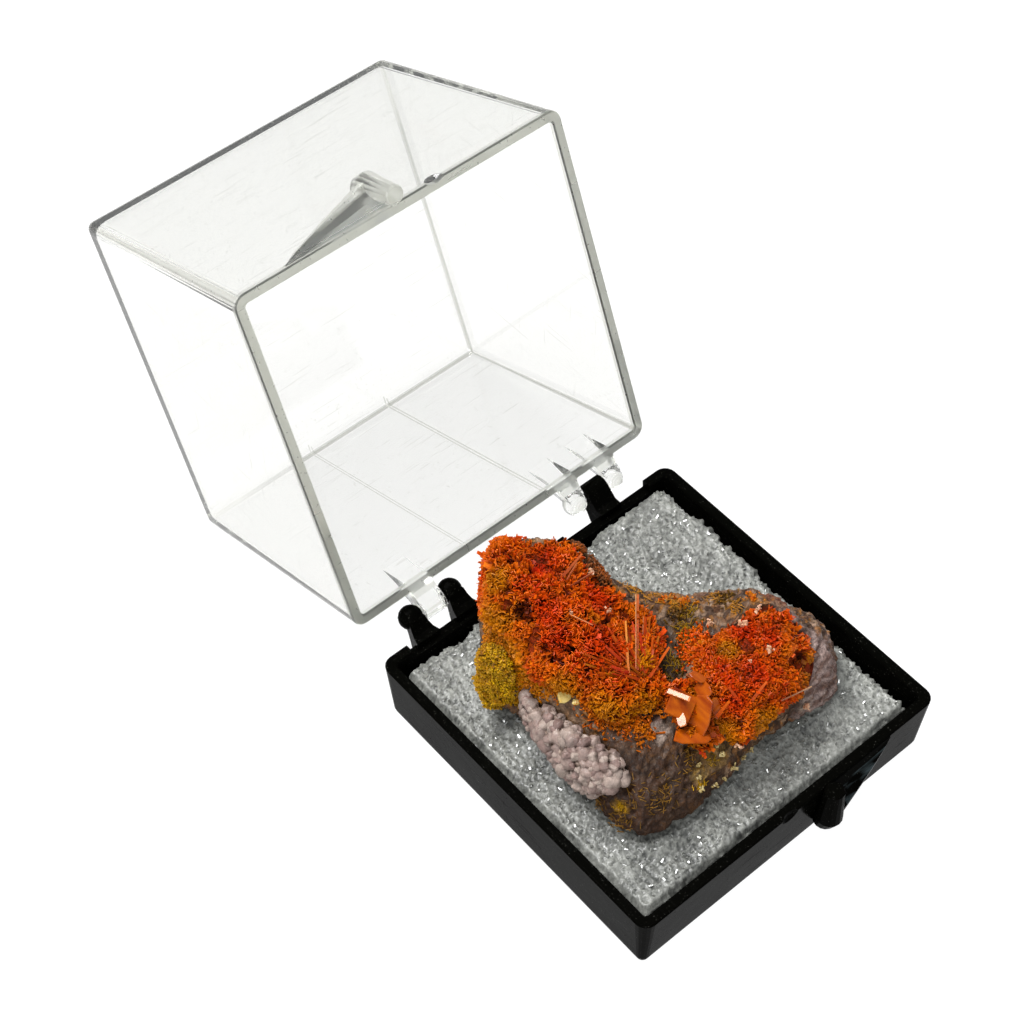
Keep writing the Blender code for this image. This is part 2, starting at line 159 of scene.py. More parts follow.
# %% Lights and room
def soft_light(name, place, side, power, toward):
    """A square light that faces a point."""
    light = bpy.data.lights.new(name, "AREA")
    light.shape = "SQUARE"
    light.size = side
    light.energy = power
    lamp = in_scene(name, light)
    lamp.location = place
    lamp.rotation_euler = (Vector(toward) - Vector(place)).to_track_quat("-Z", "Y").to_euler()
    return lamp


light_paths = bpy.context.scene.cycles
light_paths.max_bounces = light_paths.transmission_bounces = 18
light_paths.glossy_bounces = 12
light_paths.diffuse_bounces = 3

middle = Vector((0.0, 0.012, 0.01))
overhead = soft_light("overhead", (-0.06, 0.22, 0.48), 0.34, 4.6, middle)
fill = soft_light("fill", (-0.42, -0.34, 0.30), 0.30, 1.6, middle)
mirroring = ((Vector(overhead.location) - middle).normalized() + to_camera).normalized()

room = bpy.data.worlds.new("room")
bpy.context.scene.world = room
room.use_nodes = True
room.node_tree.nodes["Background"].inputs["Color"].default_value = (0.93, 0.96, 1.0, 1.0)
room.node_tree.nodes["Background"].inputs["Strength"].default_value = 0.5
print("lights:", overhead.name, fill.name)

# %% [markdown]
# ## Finishes made of nodes
#
# A finish starts as a plain Principled shader. Anything that varies over the surface, such as
# dust, scratches or grain, is worked out from the piece's own coordinates, so it sticks to the
# piece when the lid swings. Values that are the same all over are typed straight into the shader.

# %% New finishes and patterns
def new_finish(name, base=(0.8, 0.8, 0.8), roughness=0.5, **sockets):
    """A Principled finish and its node tree. Socket names are written with underscores."""
    finish = bpy.data.materials.new(name)
    finish.use_nodes = True
    tree = finish.node_tree
    skin = tree.nodes["Principled BSDF"]
    skin.inputs["Base Color"].default_value = (*base, 1.0)
    skin.inputs["Roughness"].default_value = roughness
    for socket, value in sockets.items():
        skin.inputs[socket.replace("_", " ")].default_value = value
    return finish, tree, skin


def own_place(tree, stretch=(1.0, 1.0, 1.0), turn=(0.0, 0.0, 0.0), shift=(0.0, 0.0, 0.0)):
    """The piece's own coordinates, stretched, turned and shifted."""
    mapping = tree.nodes.new("ShaderNodeMapping")
    mapping.inputs["Scale"].default_value = stretch
    mapping.inputs["Rotation"].default_value = turn
    mapping.inputs["Location"].default_value = shift
    tree.links.new(tree.nodes.new("ShaderNodeTexCoord").outputs["Object"], mapping.inputs["Vector"])
    return mapping.outputs["Vector"]


def along_axes(tree, place):
    """The three coordinates of a place, by the names X, Y and Z."""
    split = tree.nodes.new("ShaderNodeSeparateXYZ")
    tree.links.new(place, split.inputs["Vector"])
    return split.outputs


def grain(tree, size, detail=2.0, at=None):
    """A cloudy pattern whose lumps are about as large as size."""
    pattern = tree.nodes.new("ShaderNodeTexNoise")
    pattern.inputs["Scale"].default_value = 1.0 / size
    pattern.inputs["Detail"].default_value = detail
    tree.links.new(at or own_place(tree), pattern.inputs["Vector"])
    return pattern.outputs["Fac"]


# %% [markdown]
# ## Turning patterns into colour and relief
#
# A pattern is only a value from 0 to 1. A ramp turns it into greys or colours, two of them are
# mixed like layers of paint, and a bump node takes it for the height of tiny dents.

# %% Ramps, layers and bumps
def steps(tree, value, *stops):
    """Turns a value into a colour or a grey by stops of (value, grey or colour)."""
    ramp = tree.nodes.new("ShaderNodeValToRGB")
    marks = ramp.color_ramp.elements
    for mark, (position, shade) in zip(marks, stops):
        mark.position = position
        mark.color = (*shade, 1.0) if hasattr(shade, "__len__") else (shade, shade, shade, 1.0)
    tree.links.new(value, ramp.inputs["Fac"])
    return ramp.outputs["Color"]


def combine(tree, kind, first, second, share=1.0):
    """Mixes two colours, where share is a number or another value from the tree."""
    mix = tree.nodes.new("ShaderNodeMix")
    mix.data_type = "RGBA"
    mix.blend_type = kind
    for index, value in ((0, share), (6, first), (7, second)):
        if isinstance(value, bpy.types.NodeSocket):
            tree.links.new(value, mix.inputs[index])
        elif index == 0:
            mix.inputs[index].default_value = value
        else:
            mix.inputs[index].default_value = (*value, 1.0)
    return mix.outputs[2]


def grey(value):
    """One value as a colour."""
    return (value,) * 3


def relief(tree, skin, height, depth):
    """Small bumps in the surface, added on top of any that are there."""
    bump = tree.nodes.new("ShaderNodeBump")
    bump.inputs["Distance"].default_value = depth
    bump.inputs["Strength"].default_value = 1.0
    tree.links.new(height, bump.inputs["Height"])
    if skin.inputs["Normal"].is_linked:
        tree.links.new(skin.inputs["Normal"].links[0].from_socket, bump.inputs["Normal"])
    tree.links.new(bump.outputs["Normal"], skin.inputs["Normal"])


def nearness(tree, value, center, width):
    """White where a coordinate is within a width of a center, black elsewhere."""
    away = tree.nodes.new("ShaderNodeMath")
    away.operation = "COMPARE"
    away.inputs[1].default_value = center
    away.inputs[2].default_value = width
    tree.links.new(value, away.inputs[0])
    return away.outputs["Value"]


def wear(node, finish):
    """Gives a carried-over part its finish."""
    nodes[node].data.materials.clear()
    nodes[node].data.materials.append(finish)
    print(node, len(nodes[node].data.polygons), "faces,", finish.name)


# %% [markdown]
# ## The black tray
#
# The tray is moulded from glossy black polystyrene. It has picked up fine rubbing marks and a
# little pale dust, and the ramp of its latch is rubbed and painted with a bluish-grey sheen, a
# painted highlight. The moulded shape is right already, so only the finish is made. Rubbing marks
# are patterns stretched very long, in two directions, and the rubbed ramp's painted sheen is a
# streaky pattern that is let through only round the latch.

# %% Tray finish
PLASTIC_BLACK = screen(4, 4, 3)
LATCH_MIDDLE, LATCH_REACH = (7.6 * MM, -17.2 * MM), (3.0 * MM, 0.95 * MM)
black, tree, skin = new_finish(
    "black_polystyrene", PLASTIC_BLACK, 0.16, IOR=1.5, Specular_IOR_Level=0.005
)
rub = grain(tree, 0.25 * MM, 3.0, own_place(tree, (1.0, 0.04, 1.0), (0.0, 0.0, 0.5)))
scuff = grain(tree, 0.3 * MM, 3.0, own_place(tree, (0.05, 1.0, 0.6), (0.3, 0.0, -0.4)))
cloud = grain(tree, 6 * MM, 3.0)
marks = combine(
    tree, "SCREEN",
    steps(tree, rub, (0.6, 0.0), (0.72, 1.0)), steps(tree, scuff, (0.62, 0.0), (0.74, 1.0)),
)
dull = combine(tree, "ADD", steps(tree, cloud, (0.3, 0.12), (0.75, 0.24)), marks, 0.18)
tree.links.new(dull, skin.inputs["Roughness"])

dust = steps(tree, grain(tree, 0.12 * MM, 1.0), (0.70, 0.0), (0.8, 0.3))
shade = combine(tree, "MIX", PLASTIC_BLACK, screen(110, 110, 102), dust)
axes = along_axes(tree, own_place(tree))
latch = combine(tree, "MULTIPLY", *(
    nearness(tree, axes[axis], LATCH_MIDDLE[index], LATCH_REACH[index])
    for index, axis in enumerate("XY")
))
# Painted highlight: a streaky bluish-grey sheen on the latch ramp, mixed with its rubbing.
streaks = grain(tree, 0.5 * MM, 3.0, own_place(tree, (0.2, 1.0, 1.0), (0.0, 0.3, 0.0)))
rubbing_and_sheen = combine(tree, "MULTIPLY", latch, steps(tree, streaks, (0.52, 0.0), (0.75, 1.0)))
shade = combine(tree, "MIX", shade, screen(52, 60, 62), rubbing_and_sheen)
tree.links.new(shade, skin.inputs["Base Color"])
relief(tree, skin, cloud, 0.05 * MM)
relief(tree, skin, marks, 0.004 * MM)
wear("tray", black)

# %% [markdown]
# ## The clear lid: where its edges are
#
# The lid is easiest to describe when it is shut, because then its walls follow the axes. So its
# own coordinates are swung shut first, and made so that the outer walls and the closed end lie
# at 1 or -1. An edge is where two of the three coordinates are nearly 1 or -1, the rim is a thin
# slice at the open side, and the latch is what stands out in front of the front wall.

# %% Lid places
HALF_LID = 16 * MM
LID_SWING = math.radians(111.9)
SHUT_SHIFT = (0.0, 31.07 * MM / HALF_LID, -7.0 * MM / HALF_LID - 1.0)
RIM_HEIGHT = 7.3 * MM / HALF_LID - 1.0
clear, tree, skin = new_finish(
    "clear_polystyrene", (1.0, 1.0, 1.0), 0.02, IOR=1.59, Transmission_Weight=0.98
)
shut = along_axes(tree, own_place(tree, grey(1 / HALF_LID), (LID_SWING, 0.0, 0.0), SHUT_SHIFT))


def close_to_one(value):
    """White where a coordinate is nearly 1 or -1, black elsewhere."""
    size = tree.nodes.new("ShaderNodeMath")
    size.operation = "ABSOLUTE"
    tree.links.new(value, size.inputs[0])
    return steps(tree, size.outputs["Value"], (0.94, 0.0), (0.965, 1.0))


side, back, end = (close_to_one(shut[axis]) for axis in "XYZ")
edges = combine(tree, "MULTIPLY", side, back)
for first, second in ((side, end), (back, end)):
    edges = combine(tree, "ADD", edges, combine(tree, "MULTIPLY", first, second))
rim_face = nearness(tree, shut["Z"], RIM_HEIGHT, 0.025)
latch = nearness(tree, shut["Y"], -1.065, 0.055)
print("lid: rim at", round(RIM_HEIGHT, 3))

# %% [markdown]
# ## The clear lid: scratches and seams
#
# The walls carry many hair-fine scratches, a few cloudy rubs and, on the hinge side, two faint
# seams left by the mould. Scratches are noise stretched into lines, in four directions.

# %% Lid marks
SCRATCHES = (
    ((0.2, 0.1, 0.4), (1.0, 0.03, 1.0)),
    ((0.9, 0.4, -0.7), (0.03, 1.0, 1.0)),
    ((-0.6, 0.8, 1.3), (1.0, 1.0, 0.04)),
    ((0.5, -0.9, 0.2), (0.05, 0.4, 1.0)),
)
scratches = grey(0.0)
for turn, stretch in SCRATCHES:
    lines = grain(tree, 0.22 * MM, 1.0, own_place(tree, stretch, turn))
    scratches = combine(tree, "SCREEN", scratches, steps(tree, lines, (0.71, 0.0), (0.76, 1.0)))
rubbing_and_sheen = steps(tree, grain(tree, 9 * MM, 3.0), (0.5, 0.0), (0.7, 1.0))
seams = combine(
    tree, "ADD", nearness(tree, shut["X"], 0.3, 0.0045), nearness(tree, shut["X"], -0.25, 0.0025)
)
seams = combine(tree, "MULTIPLY", seams, nearness(tree, shut["Y"], 1.0, 0.12))
marked = combine(tree, "ADD", combine(tree, "MULTIPLY", scratches, grey(0.4)), seams)
print("lid:", len(SCRATCHES), "directions of scratches")

# %% [markdown]
# ## The clear lid: the plastic
#
# The lid is clear polystyrene: it bends light by 1.59, and a faint yellow-green shows only where
# light travels far inside it, which is why its edges look greenish grey. That tint belongs in the
# volume. The rim, the latch and the edges are worn matt. The edges are also painted grey for the
# way they look in the light: paler at the front and left, and a darker painted shade towards the
# hinge. Years of rubbing leave plastic a little milky, so it is not quite perfectly clear here
# either.

# %% Lid finish
# Painted light and shade on the edges: pale grey at the front and left, darker grey towards the
# hinge.
hinge_side_edge_shade = tree.nodes.new("ShaderNodeMath")
for index, axis in enumerate("XY"):
    tree.links.new(shut[axis], hinge_side_edge_shade.inputs[index])
hinge_side_edge_shade = steps(tree, hinge_side_edge_shade.outputs["Value"], (0.25, 0.0), (0.45, 1.0))
edge_light_and_shade = combine(tree, "MIX", screen(222, 222, 212), screen(152, 152, 143), hinge_side_edge_shade)
matt_faces = combine(tree, "ADD", rim_face, latch)
shade = combine(tree, "MIX", screen(251, 251, 249), screen(218, 219, 210), matt_faces)
shade = combine(tree, "MIX", shade, edge_light_and_shade, edges)
shade = combine(tree, "MIX", shade, screen(206, 206, 198), marked)
tree.links.new(shade, skin.inputs["Base Color"])
smoothness = combine(tree, "MIX", grey(0.015), grey(0.045), rubbing_and_sheen)
frosted = combine(tree, "ADD", combine(tree, "ADD", edges, rim_face), latch)
smoothness = combine(tree, "MIX", smoothness, grey(0.3), frosted)
smoothness = combine(tree, "MIX", smoothness, grey(0.22), marked)
tree.links.new(smoothness, skin.inputs["Roughness"])
tint = tree.nodes.new("ShaderNodeVolumeAbsorption")
tint.inputs["Color"].default_value = (0.72, 0.74, 0.62, 1.0)
tint.inputs["Density"].default_value = 22.0
tree.links.new(tint.outputs["Volume"], tree.nodes["Material Output"].inputs["Volume"])
wear("lid", clear)

# %% [markdown]
# ## Working with meshes as arrays
#
# The specimen is far finer than its plain solids: each one is refined by subdivision, then every
# point is moved a little by noise. NumPy arrays keep this short and quick.

# %% Refining a part
def refined(node, levels):
    """A smoother, finer copy of a part: its points, four-sided faces and outward directions."""
    form = bmesh.new()
    form.from_mesh(nodes[node].data)
    bmesh.ops.remove_doubles(form, verts=form.verts, dist=1e-6)
    mesh = bpy.data.meshes.new("coarse")
    form.to_mesh(mesh)
    form.free()
    helper = in_scene("coarse", mesh)
    finer = helper.modifiers.new("finer", "SUBSURF")
    finer.levels = levels
    shape = helper.evaluated_get(bpy.context.evaluated_depsgraph_get()).to_mesh()
    points = np.empty(len(shape.vertices) * 3)
    outward = np.empty(len(shape.vertices) * 3)
    corners = np.empty(len(shape.loops), np.int32)
    shape.vertices.foreach_get("co", points)
    shape.vertices.foreach_get("normal", outward)
    shape.loops.foreach_get("vertex_index", corners)
    bpy.data.objects.remove(helper)
    return points.reshape(-1, 3), corners.reshape(-1, 4), outward.reshape(-1, 3)


# %% [markdown]
# ## Noise at the points
#
# Two kinds of noise do all the shaping: soft clouds, added in octaves, and cells round scattered
# seeds, whose borders make walls, creases or mineral grains. A smooth step turns either one into
# a soft-edged mask.

# %% Noise helpers
def cloudy(points, size, octaves=1, seed=0.0):
    """Smooth noise from about -1 to 1 at each point, with lumps of that size."""
    total = np.zeros(len(points))
    for octave in range(octaves):
        places = points * (2**octave / size) + (seed, seed * 1.7 + octave, -seed)
        total += np.array([noise.noise(place) for place in places.tolist()]) / 2**octave
    return total


def cell_walls(points, size, seed=0.0):
    """Distance to the nearest of scattered seeds, the gap to the next, and a number per cell."""
    found = [noise.voronoi(place) for place in (points / size + seed).tolist()]
    near = np.array([(away[0], away[1] - away[0]) for away, _ in found])
    seeds = np.array([place[0][:] for _, place in found])
    number = np.sin(seeds @ (12.9898, 78.233, 37.719)) * 43758.5453
    return near[:, 0], near[:, 1], number - np.floor(number)


def smooth_step(low, high, values):
    """0 below the first limit, 1 above the second, and a smooth change between."""
    share = np.clip((values - low) / (high - low), 0.0, 1.0)
    return share * share * (3 - 2 * share)


def blend_colors(first, second, share):
    """Mixes colours point by point."""
    share = np.clip(share, 0.0, 1.0)[:, None]
    return first * (1 - share) + second * share


# %% [markdown]
# ## Coloured pieces
#
# Colour is kept at the points too, in a colour attribute, because the colour changes with the
# shape: crystal tips are left pale, and the gaps between them are painted dark, as shade. The
# finish reads that attribute and lays a fine grain over it.

# %% Adding a piece
def add_piece(name, points, faces, colors, finish, slot, smooth=True):
    """A coloured mesh piece that rides on the tray."""
    mesh = bpy.data.meshes.new(name)
    mesh.from_pydata(points.tolist(), [], faces if isinstance(faces, list) else faces.tolist())
    layer = mesh.color_attributes.new("tint", "FLOAT_COLOR", "POINT")
    colors = np.clip(colors, 0.0005, 1.0)
    layer.data.foreach_set("color", np.hstack([colors, np.ones((len(colors), 1))]).ravel())
    if smooth:
        mesh.shade_smooth()
    mesh.materials.append(finish)
    piece = in_scene(name, mesh)
    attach(piece, "tray")
    print(name, len(mesh.polygons), "faces")
    return piece


def tinted(name, grain_size, darkest, lightest, **values):
    """A finish whose colour is kept at the points, with fine light and dark grain over it."""
    finish, tree, skin = new_finish(name, **values)
    layer = tree.nodes.new("ShaderNodeAttribute")
    layer.attribute_name = "tint"
    speckle = steps(tree, grain(tree, grain_size, 2.0), (0.3, darkest), (0.7, lightest))
    shade = combine(tree, "MULTIPLY", layer.outputs["Color"], speckle)
    tree.links.new(shade, skin.inputs["Base Color"])
    return finish, tree, skin


# %% [markdown]
# ## Finding a place on the specimen
#
# A line from the camera through a pixel of the photograph meets the specimen at one point. That
# point is on the solid itself, so a detail that is put there sits on what carries it and looks
# right from every side.

# %% Spots on the specimen
def tree_of(*names):
    """A search tree over the faces of some parts."""
    points, faces = [], []
    for name in names:
        start = len(points)
        mesh = nodes[name].data
        points += [vertex.co[:] for vertex in mesh.vertices]
        faces += [[start + corner for corner in face.vertices] for face in mesh.polygons]
    return BVHTree.FromPolygons(points, faces)


specimen_tree = tree_of(
    "matrix", "wulfenite_left", "wulfenite_right", "wulfenite_plates", "mimetite_crust", "pale_lump"
)
rock_tree = tree_of("matrix")


def sight(across, down):
    """The line of sight through a pixel of the photograph, as long as the focal length."""
    half = PHOTO_SIDE / 2
    return (across - half) * view_right - (down - half) * view_up - FOCAL_PIXELS * to_camera


def spot(across, down):
    """The specimen's point and outward direction at a pixel of the photograph."""
    ray = sight(across, down).normalized()
    point, outward, _, _ = specimen_tree.ray_cast(eye, ray)
    if point is None:
        point, outward, _, _ = specimen_tree.find_nearest(eye + ray * camera_away)
    return np.array(point), np.array(outward)


print("the middle of the left crystals is at", (spot(560, 620)[0] / MM).round(1))

# %% [markdown]
# ## Patches
#
# Stains, coloured zones and hollows are round patches at such places. Noise in the distance from
# the middle makes their borders ragged, as nothing on a rock ends in a circle.

# %% Patches on the specimen
def patch(points, across, down, reach, soft=0.4, seed=0.0):
    """1 inside a ragged round patch at a pixel, 0 outside it. Reach is in millimetres."""
    center, _ = spot(across, down)
    away = np.linalg.norm(points - center, axis=1) / (reach * MM)
    near = away < 2.0
    away[near] += 0.3 * cloudy(points[near], 0.8 * MM, 2, seed + reach)
    return 1 - smooth_step(1 - soft, 1 + soft, away)


def patches(points, spots, soft=0.4):
    """The strongest of several patches at each point."""
    strongest = np.zeros(len(points))
    for across, down, reach in spots:
        strongest = np.maximum(strongest, patch(points, across, down, reach, soft, across * 0.1))
    return strongest


# %% [markdown]
# ## The foam pad: outline
#
# The pad is cut from foam with clear cells. Its top is a fine square grid, laid on the plain
# solid. Its hinge side and right side were torn rather than cut, so the grid is pulled in there
# by noise of two sizes, which leaves those edges ragged.

# %% Pad grid and torn edges
PAD_STEP = 0.13 * MM
pad_low, pad_high = (np.array(corner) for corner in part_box("foam_pad"))
pad_tree = tree_of("foam_pad")
count = int(round((pad_high[0] - pad_low[0]) / PAD_STEP))
line = np.linspace(-1.0, 1.0, count)
grid_x, grid_y = (values.ravel() for values in np.meshgrid(line, line))
flat = np.stack([grid_x, grid_y, np.zeros(count * count)], axis=1) * pad_high[0]
torn = cloudy(flat, 2.2 * MM, 3, 4.0)
fine_tear = cloudy(flat, 0.5 * MM, 2, 9.0)
torn_right = (0.45 + 0.6 * torn + 0.5 * fine_tear) * MM * smooth_step(0.90, 1.0, grid_x)
torn_hinge = (0.25 + 0.6 * torn + 0.5 * fine_tear) * MM * smooth_step(0.90, 1.0, grid_y)
top = flat.copy()
top[:, 0] -= np.maximum(torn_right, 0.0)
top[:, 1] -= np.maximum(torn_hinge, 0.0)
INWARD, ABOVE = 0.995, 20 * MM
top[:, 2] = [
    pad_tree.ray_cast((x * INWARD, y * INWARD, ABOVE), (0, 0, -1))[0].z for x, y, _ in top.tolist()
]
print("pad grid:", count, "by", count)

# %% [markdown]
# ## The foam pad: open cells
#
# A cut face shows the open cells as little bowls with thin, curly, shiny walls between them,
# about half a millimetre wide. A bump pattern would look flat from the side, so the points really
# rise and fall with two sizes of cells. Near the rock the foam rises a little and hugs it.

# %% Pad cells
waves = [cloudy(flat, 0.5 * MM, 1, seed) for seed in (12.0, 17.0)]
warp = 0.12 * MM * np.stack([*waves, 0 * grid_x], axis=1)
big_gap = cell_walls(flat + warp + (0, 0, 0.003), 0.66 * MM, 3.0)[1]
small_gap = cell_walls(flat + warp + (0, 0, 0.007), 0.36 * MM, 8.0)[1]
walls = 1 - smooth_step(0.0, 0.30, big_gap)
film = 1 - smooth_step(0.0, 0.35, small_gap)
lumps = cloudy(flat, 2.5 * MM, 2, 2.0)
rise = 0.12 * walls + 0.05 * film + 0.10 * lumps + 0.06 * cloudy(flat, 0.35 * MM, 2, 6.0)
near_rock = np.array([rock_tree.find_nearest(place)[3] for place in top.tolist()])
hug = 1 - smooth_step(0.2 * MM, 1.6 * MM, near_rock)
edge = np.maximum(np.abs(grid_x), np.abs(grid_y))
top[:, 2] += (rise - 0.2) * MM + 0.38 * MM * hug - 0.5 * MM * smooth_step(0.965, 1.0, edge)
print("the foam rises by up to", rise.max().round(2), "mm")

# %% [markdown]
# ## The foam pad: sides and bottom
#
# The grid's outer points are joined to a ring of points at the foot, a little further in, and
# that ring is closed by one flat face. So the pad is a closed body.

# %% Pad faces
FOOT_INWARD = 0.965
corner = (np.arange(count - 1)[:, None] * count + np.arange(count - 1)).ravel()
quads = np.stack([corner, corner + 1, corner + count + 1, corner + count], axis=1)
rim = np.concatenate([
    np.arange(count), np.arange(1, count) * count + count - 1,
    (count - 1) * count + np.arange(count - 2, -1, -1), np.arange(count - 2, 0, -1) * count,
])
foot = flat[rim] * FOOT_INWARD
foot[:, 2] = pad_low[2]
foot_ring = count * count + np.arange(len(rim))
sides = np.stack([rim, foot_ring, np.roll(foot_ring, -1), np.roll(rim, -1)], axis=1)
pad_points = np.vstack([top, foot])
pad_faces = np.vstack([quads, sides]).tolist() + [foot_ring[::-1].tolist()]
print("pad faces:", len(pad_faces))

# %% [markdown]
# ## The foam pad: colours
#
# Cell walls are painted pale, a painted highlight where they catch the light, some cells are dark
# curls, and the pad is painted a little darker towards the front left, as shade where the specimen
# keeps the light off it.

# %% Pad colours and piece
curls = cell_walls(flat + 2 * warp + (0, 0, 0.011), 0.9 * MM, 5.0)[1]
curls += 0.1 * cloudy(flat, 0.4 * MM, 1, 3.0)
curly = smooth_step(-0.2, 0.3, cloudy(flat, 3.0 * MM, 1, 5.0))
dark_curls = (1 - smooth_step(0.0, 0.14, curls)) * curly
# Painted highlight: cell walls and films are made paler.
bright = np.clip(0.5 + 0.3 * walls + 0.2 * film + 0.4 * lumps - 0.55 * dark_curls, 0.0, 1.0)
bright = np.concatenate([bright, np.full(len(rim), 0.4)])
# Painted shade: the pad is darkened towards the front left.
front_left = smooth_step(-2.0, 16.0, (-pad_points[:, 0] - 0.55 * pad_points[:, 1]) / MM)
bright -= 0.22 * front_left
pad_colors = blend_colors(screen(60, 61, 58), screen(138, 139, 133), bright)

foam, tree, skin = tinted(
    "clear_cell_foam", 0.18 * MM, 0.75, 1.25, IOR=1.5, Coat_Weight=0.12, Coat_Roughness=0.1
)
gloss = steps(tree, grain(tree, 0.25 * MM, 1.0), (0.4, 0.3), (0.6, 0.65))
tree.links.new(gloss, skin.inputs["Roughness"])
relief(tree, skin, grain(tree, 0.15 * MM, 2.0), 0.04 * MM)
pad = add_piece("foam_pad_cells", pad_points, pad_faces, pad_colors, foam, "foam")
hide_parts("foam_pad")

# %% [markdown]
# ## The rock: its stains
#
# The matrix is a craggy piece of purple-brown rock. Its right rim shows pale lilac bands, the
# hollow between the two crystal masses is painted dark as shade, and the lower front is painted
# nearly black-purple, partly its own dark colour and partly painted shade, with a whitish quartz
# spot and cream veins. The colours are those of small grains of five minerals, under patches at
# places in the photograph.

# %% Rock minerals and stains
MINERALS = np.array([
    screen(112, 86, 70), screen(82, 54, 38), screen(136, 92, 40),
    screen(138, 116, 102), screen(52, 34, 22),
])
# Each row is (across, down, reach), the colour and how strongly it covers the minerals.
ROCK_PATCHES = (
    # These three rows paint the lower front nearly black-purple: its own dark colour and painted
    # shade.
    ((650, 780, 5.5), screen(54, 36, 26), 0.8),
    ((620, 815, 3.5), screen(52, 30, 16), 0.7),
    ((690, 800, 3.0), screen(56, 36, 20), 0.6),
    # These two rows are painted shade in the hollow between the crystal masses.
    ((672, 640, 2.4), screen(48, 34, 20), 0.75),
    ((665, 672, 1.8), screen(46, 34, 18), 0.75),
    ((505, 538, 1.8), screen(126, 100, 92), 0.6),
    ((545, 545, 1.2), screen(118, 92, 84), 0.5),
    ((775, 598, 1.4), screen(110, 62, 46), 0.7),
    ((658, 731, 1.0), screen(142, 132, 134), 0.9),
    ((655, 712, 0.9), screen(66, 40, 38), 0.8),
    ((806, 704, 0.7), screen(170, 164, 160), 0.8),
    ((715, 752, 1.3), screen(140, 112, 60), 0.7),
    ((738, 742, 0.8), screen(190, 168, 120), 0.8),
    ((752, 755, 1.1), screen(150, 122, 70), 0.6),
    ((700, 775, 0.7), screen(150, 124, 70), 0.7),
    ((620, 808, 0.6), screen(168, 128, 6), 0.9),
    ((520, 700, 1.6), screen(134, 114, 104), 0.8),
    ((545, 715, 1.6), screen(138, 118, 108), 0.7),
    ((570, 715, 1.2), screen(120, 98, 84), 0.6),
    ((565, 790, 2.0), screen(116, 92, 82), 0.6),
)
BANDED_RIM = ((805, 640, 3.0), (825, 670, 3.0), (820, 705, 2.5), (790, 615, 1.5))
ROCK_WARMTH = (0.86, 0.78, 0.62)
print("rock:", len(MINERALS), "minerals,", len(ROCK_PATCHES), "stains")

# %% [markdown]
# ## The rock: its colour at a point
#
# Each cell of noise is a grain of one mineral, with dark creases between the cells. The bands on
# the right rim are a sine of the height, bent by noise.

# %% Rock colours
def shaken(points):
    """The points moved a little, so that cells get crooked walls."""
    return points + (0.2 * MM * cloudy(points, 0.5 * MM, 1, 3.0))[:, None]


def rock_colors(points):
    """The colour of bare rock at each point."""
    _, gap, number = cell_walls(shaken(points), 0.55 * MM, 6.0)
    drift = number + 0.5 * cloudy(points, 2.0 * MM, 2, 11.0)
    last = len(MINERALS) - 1
    colors = MINERALS[np.clip((drift * len(MINERALS)).astype(int), 0, last)]
    colors = blend_colors(MINERALS[0], colors, np.full(len(points), 0.85))
    for place, shade, strength in ROCK_PATCHES:
        inside = patch(points, *place, seed=place[0] * 0.1)
        colors = blend_colors(colors, shade, inside * strength)
    colors = colors * ROCK_WARMTH
    creased = 0.35 + 0.65 * smooth_step(-0.3, 0.3, cloudy(points, 2.2 * MM, 1, 31.0))
    creases = 0.8 * creased * (1 - smooth_step(0.0, 0.24, gap))
    colors = blend_colors(colors, screen(30, 18, 12), creases)
    layers = np.sin(points[:, 2] / (0.13 * MM) + 3.0 * cloudy(points, 1.8 * MM, 2, 14.0))
    stripes = blend_colors(screen(92, 70, 64), screen(156, 136, 130), 0.5 + 0.5 * layers)
    colors = blend_colors(colors, stripes, 0.8 * patches(points, BANDED_RIM, 0.3))
    fine, broad = cloudy(points, 0.25 * MM, 2, 3.0), cloudy(points, 1.2 * MM, 2, 5.0)
    return colors * (1 + 0.35 * fine + 0.2 * broad)[:, None]


# %% [markdown]
# ## The rock: its shape
#
# The refined solid is pushed in and out by soft clouds, by noise folded into ridges and by the
# same mineral cells, which stand out as knobs. What is sunk in the foam stays as it is.

# %% Rock
def crags(points):
    """How far the rock stands out at each point, in millimetres."""
    broad = cloudy(points, 2.4 * MM, 2, 1.0)
    ridged = 0.5 - np.abs(cloudy(points, 1.1 * MM, 3, 21.0))
    knobs = 0.5 - cell_walls(shaken(points), 0.6 * MM, 6.0)[0]
    fine = cloudy(points, 0.25 * MM, 2, 7.0)
    return 0.3 * broad + 0.55 * ridged + 0.26 * knobs + 0.07 * fine - 0.12


points, faces, outward = refined("matrix", 3)
raised = smooth_step(pad_low[2] + 5.0 * MM, pad_low[2] + 6.2 * MM, points[:, 2])
rock_points = points + outward * (crags(points) * raised * MM)[:, None]
rock, tree, skin = tinted(
    "purple_brown_rock", 0.12 * MM, 0.62, 1.4, roughness=0.7, IOR=1.5, Specular_IOR_Level=0.3
)
gloss = steps(tree, grain(tree, 0.3 * MM, 2.0), (0.35, 0.3), (0.6, 0.85))
tree.links.new(gloss, skin.inputs["Roughness"])
relief(tree, skin, grain(tree, 0.18 * MM, 4.0), 0.1 * MM)
piece = add_piece("rock", rock_points, faces, rock_colors(points), rock, "rock")
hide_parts("matrix")

# %% [markdown]
# ## The pale lump
#
# The pinkish-white mineral at the front left grew as grapes: round knobs that crowd each other,
# with brown creases between. First comes the bed that carries them, swollen in soft domes.

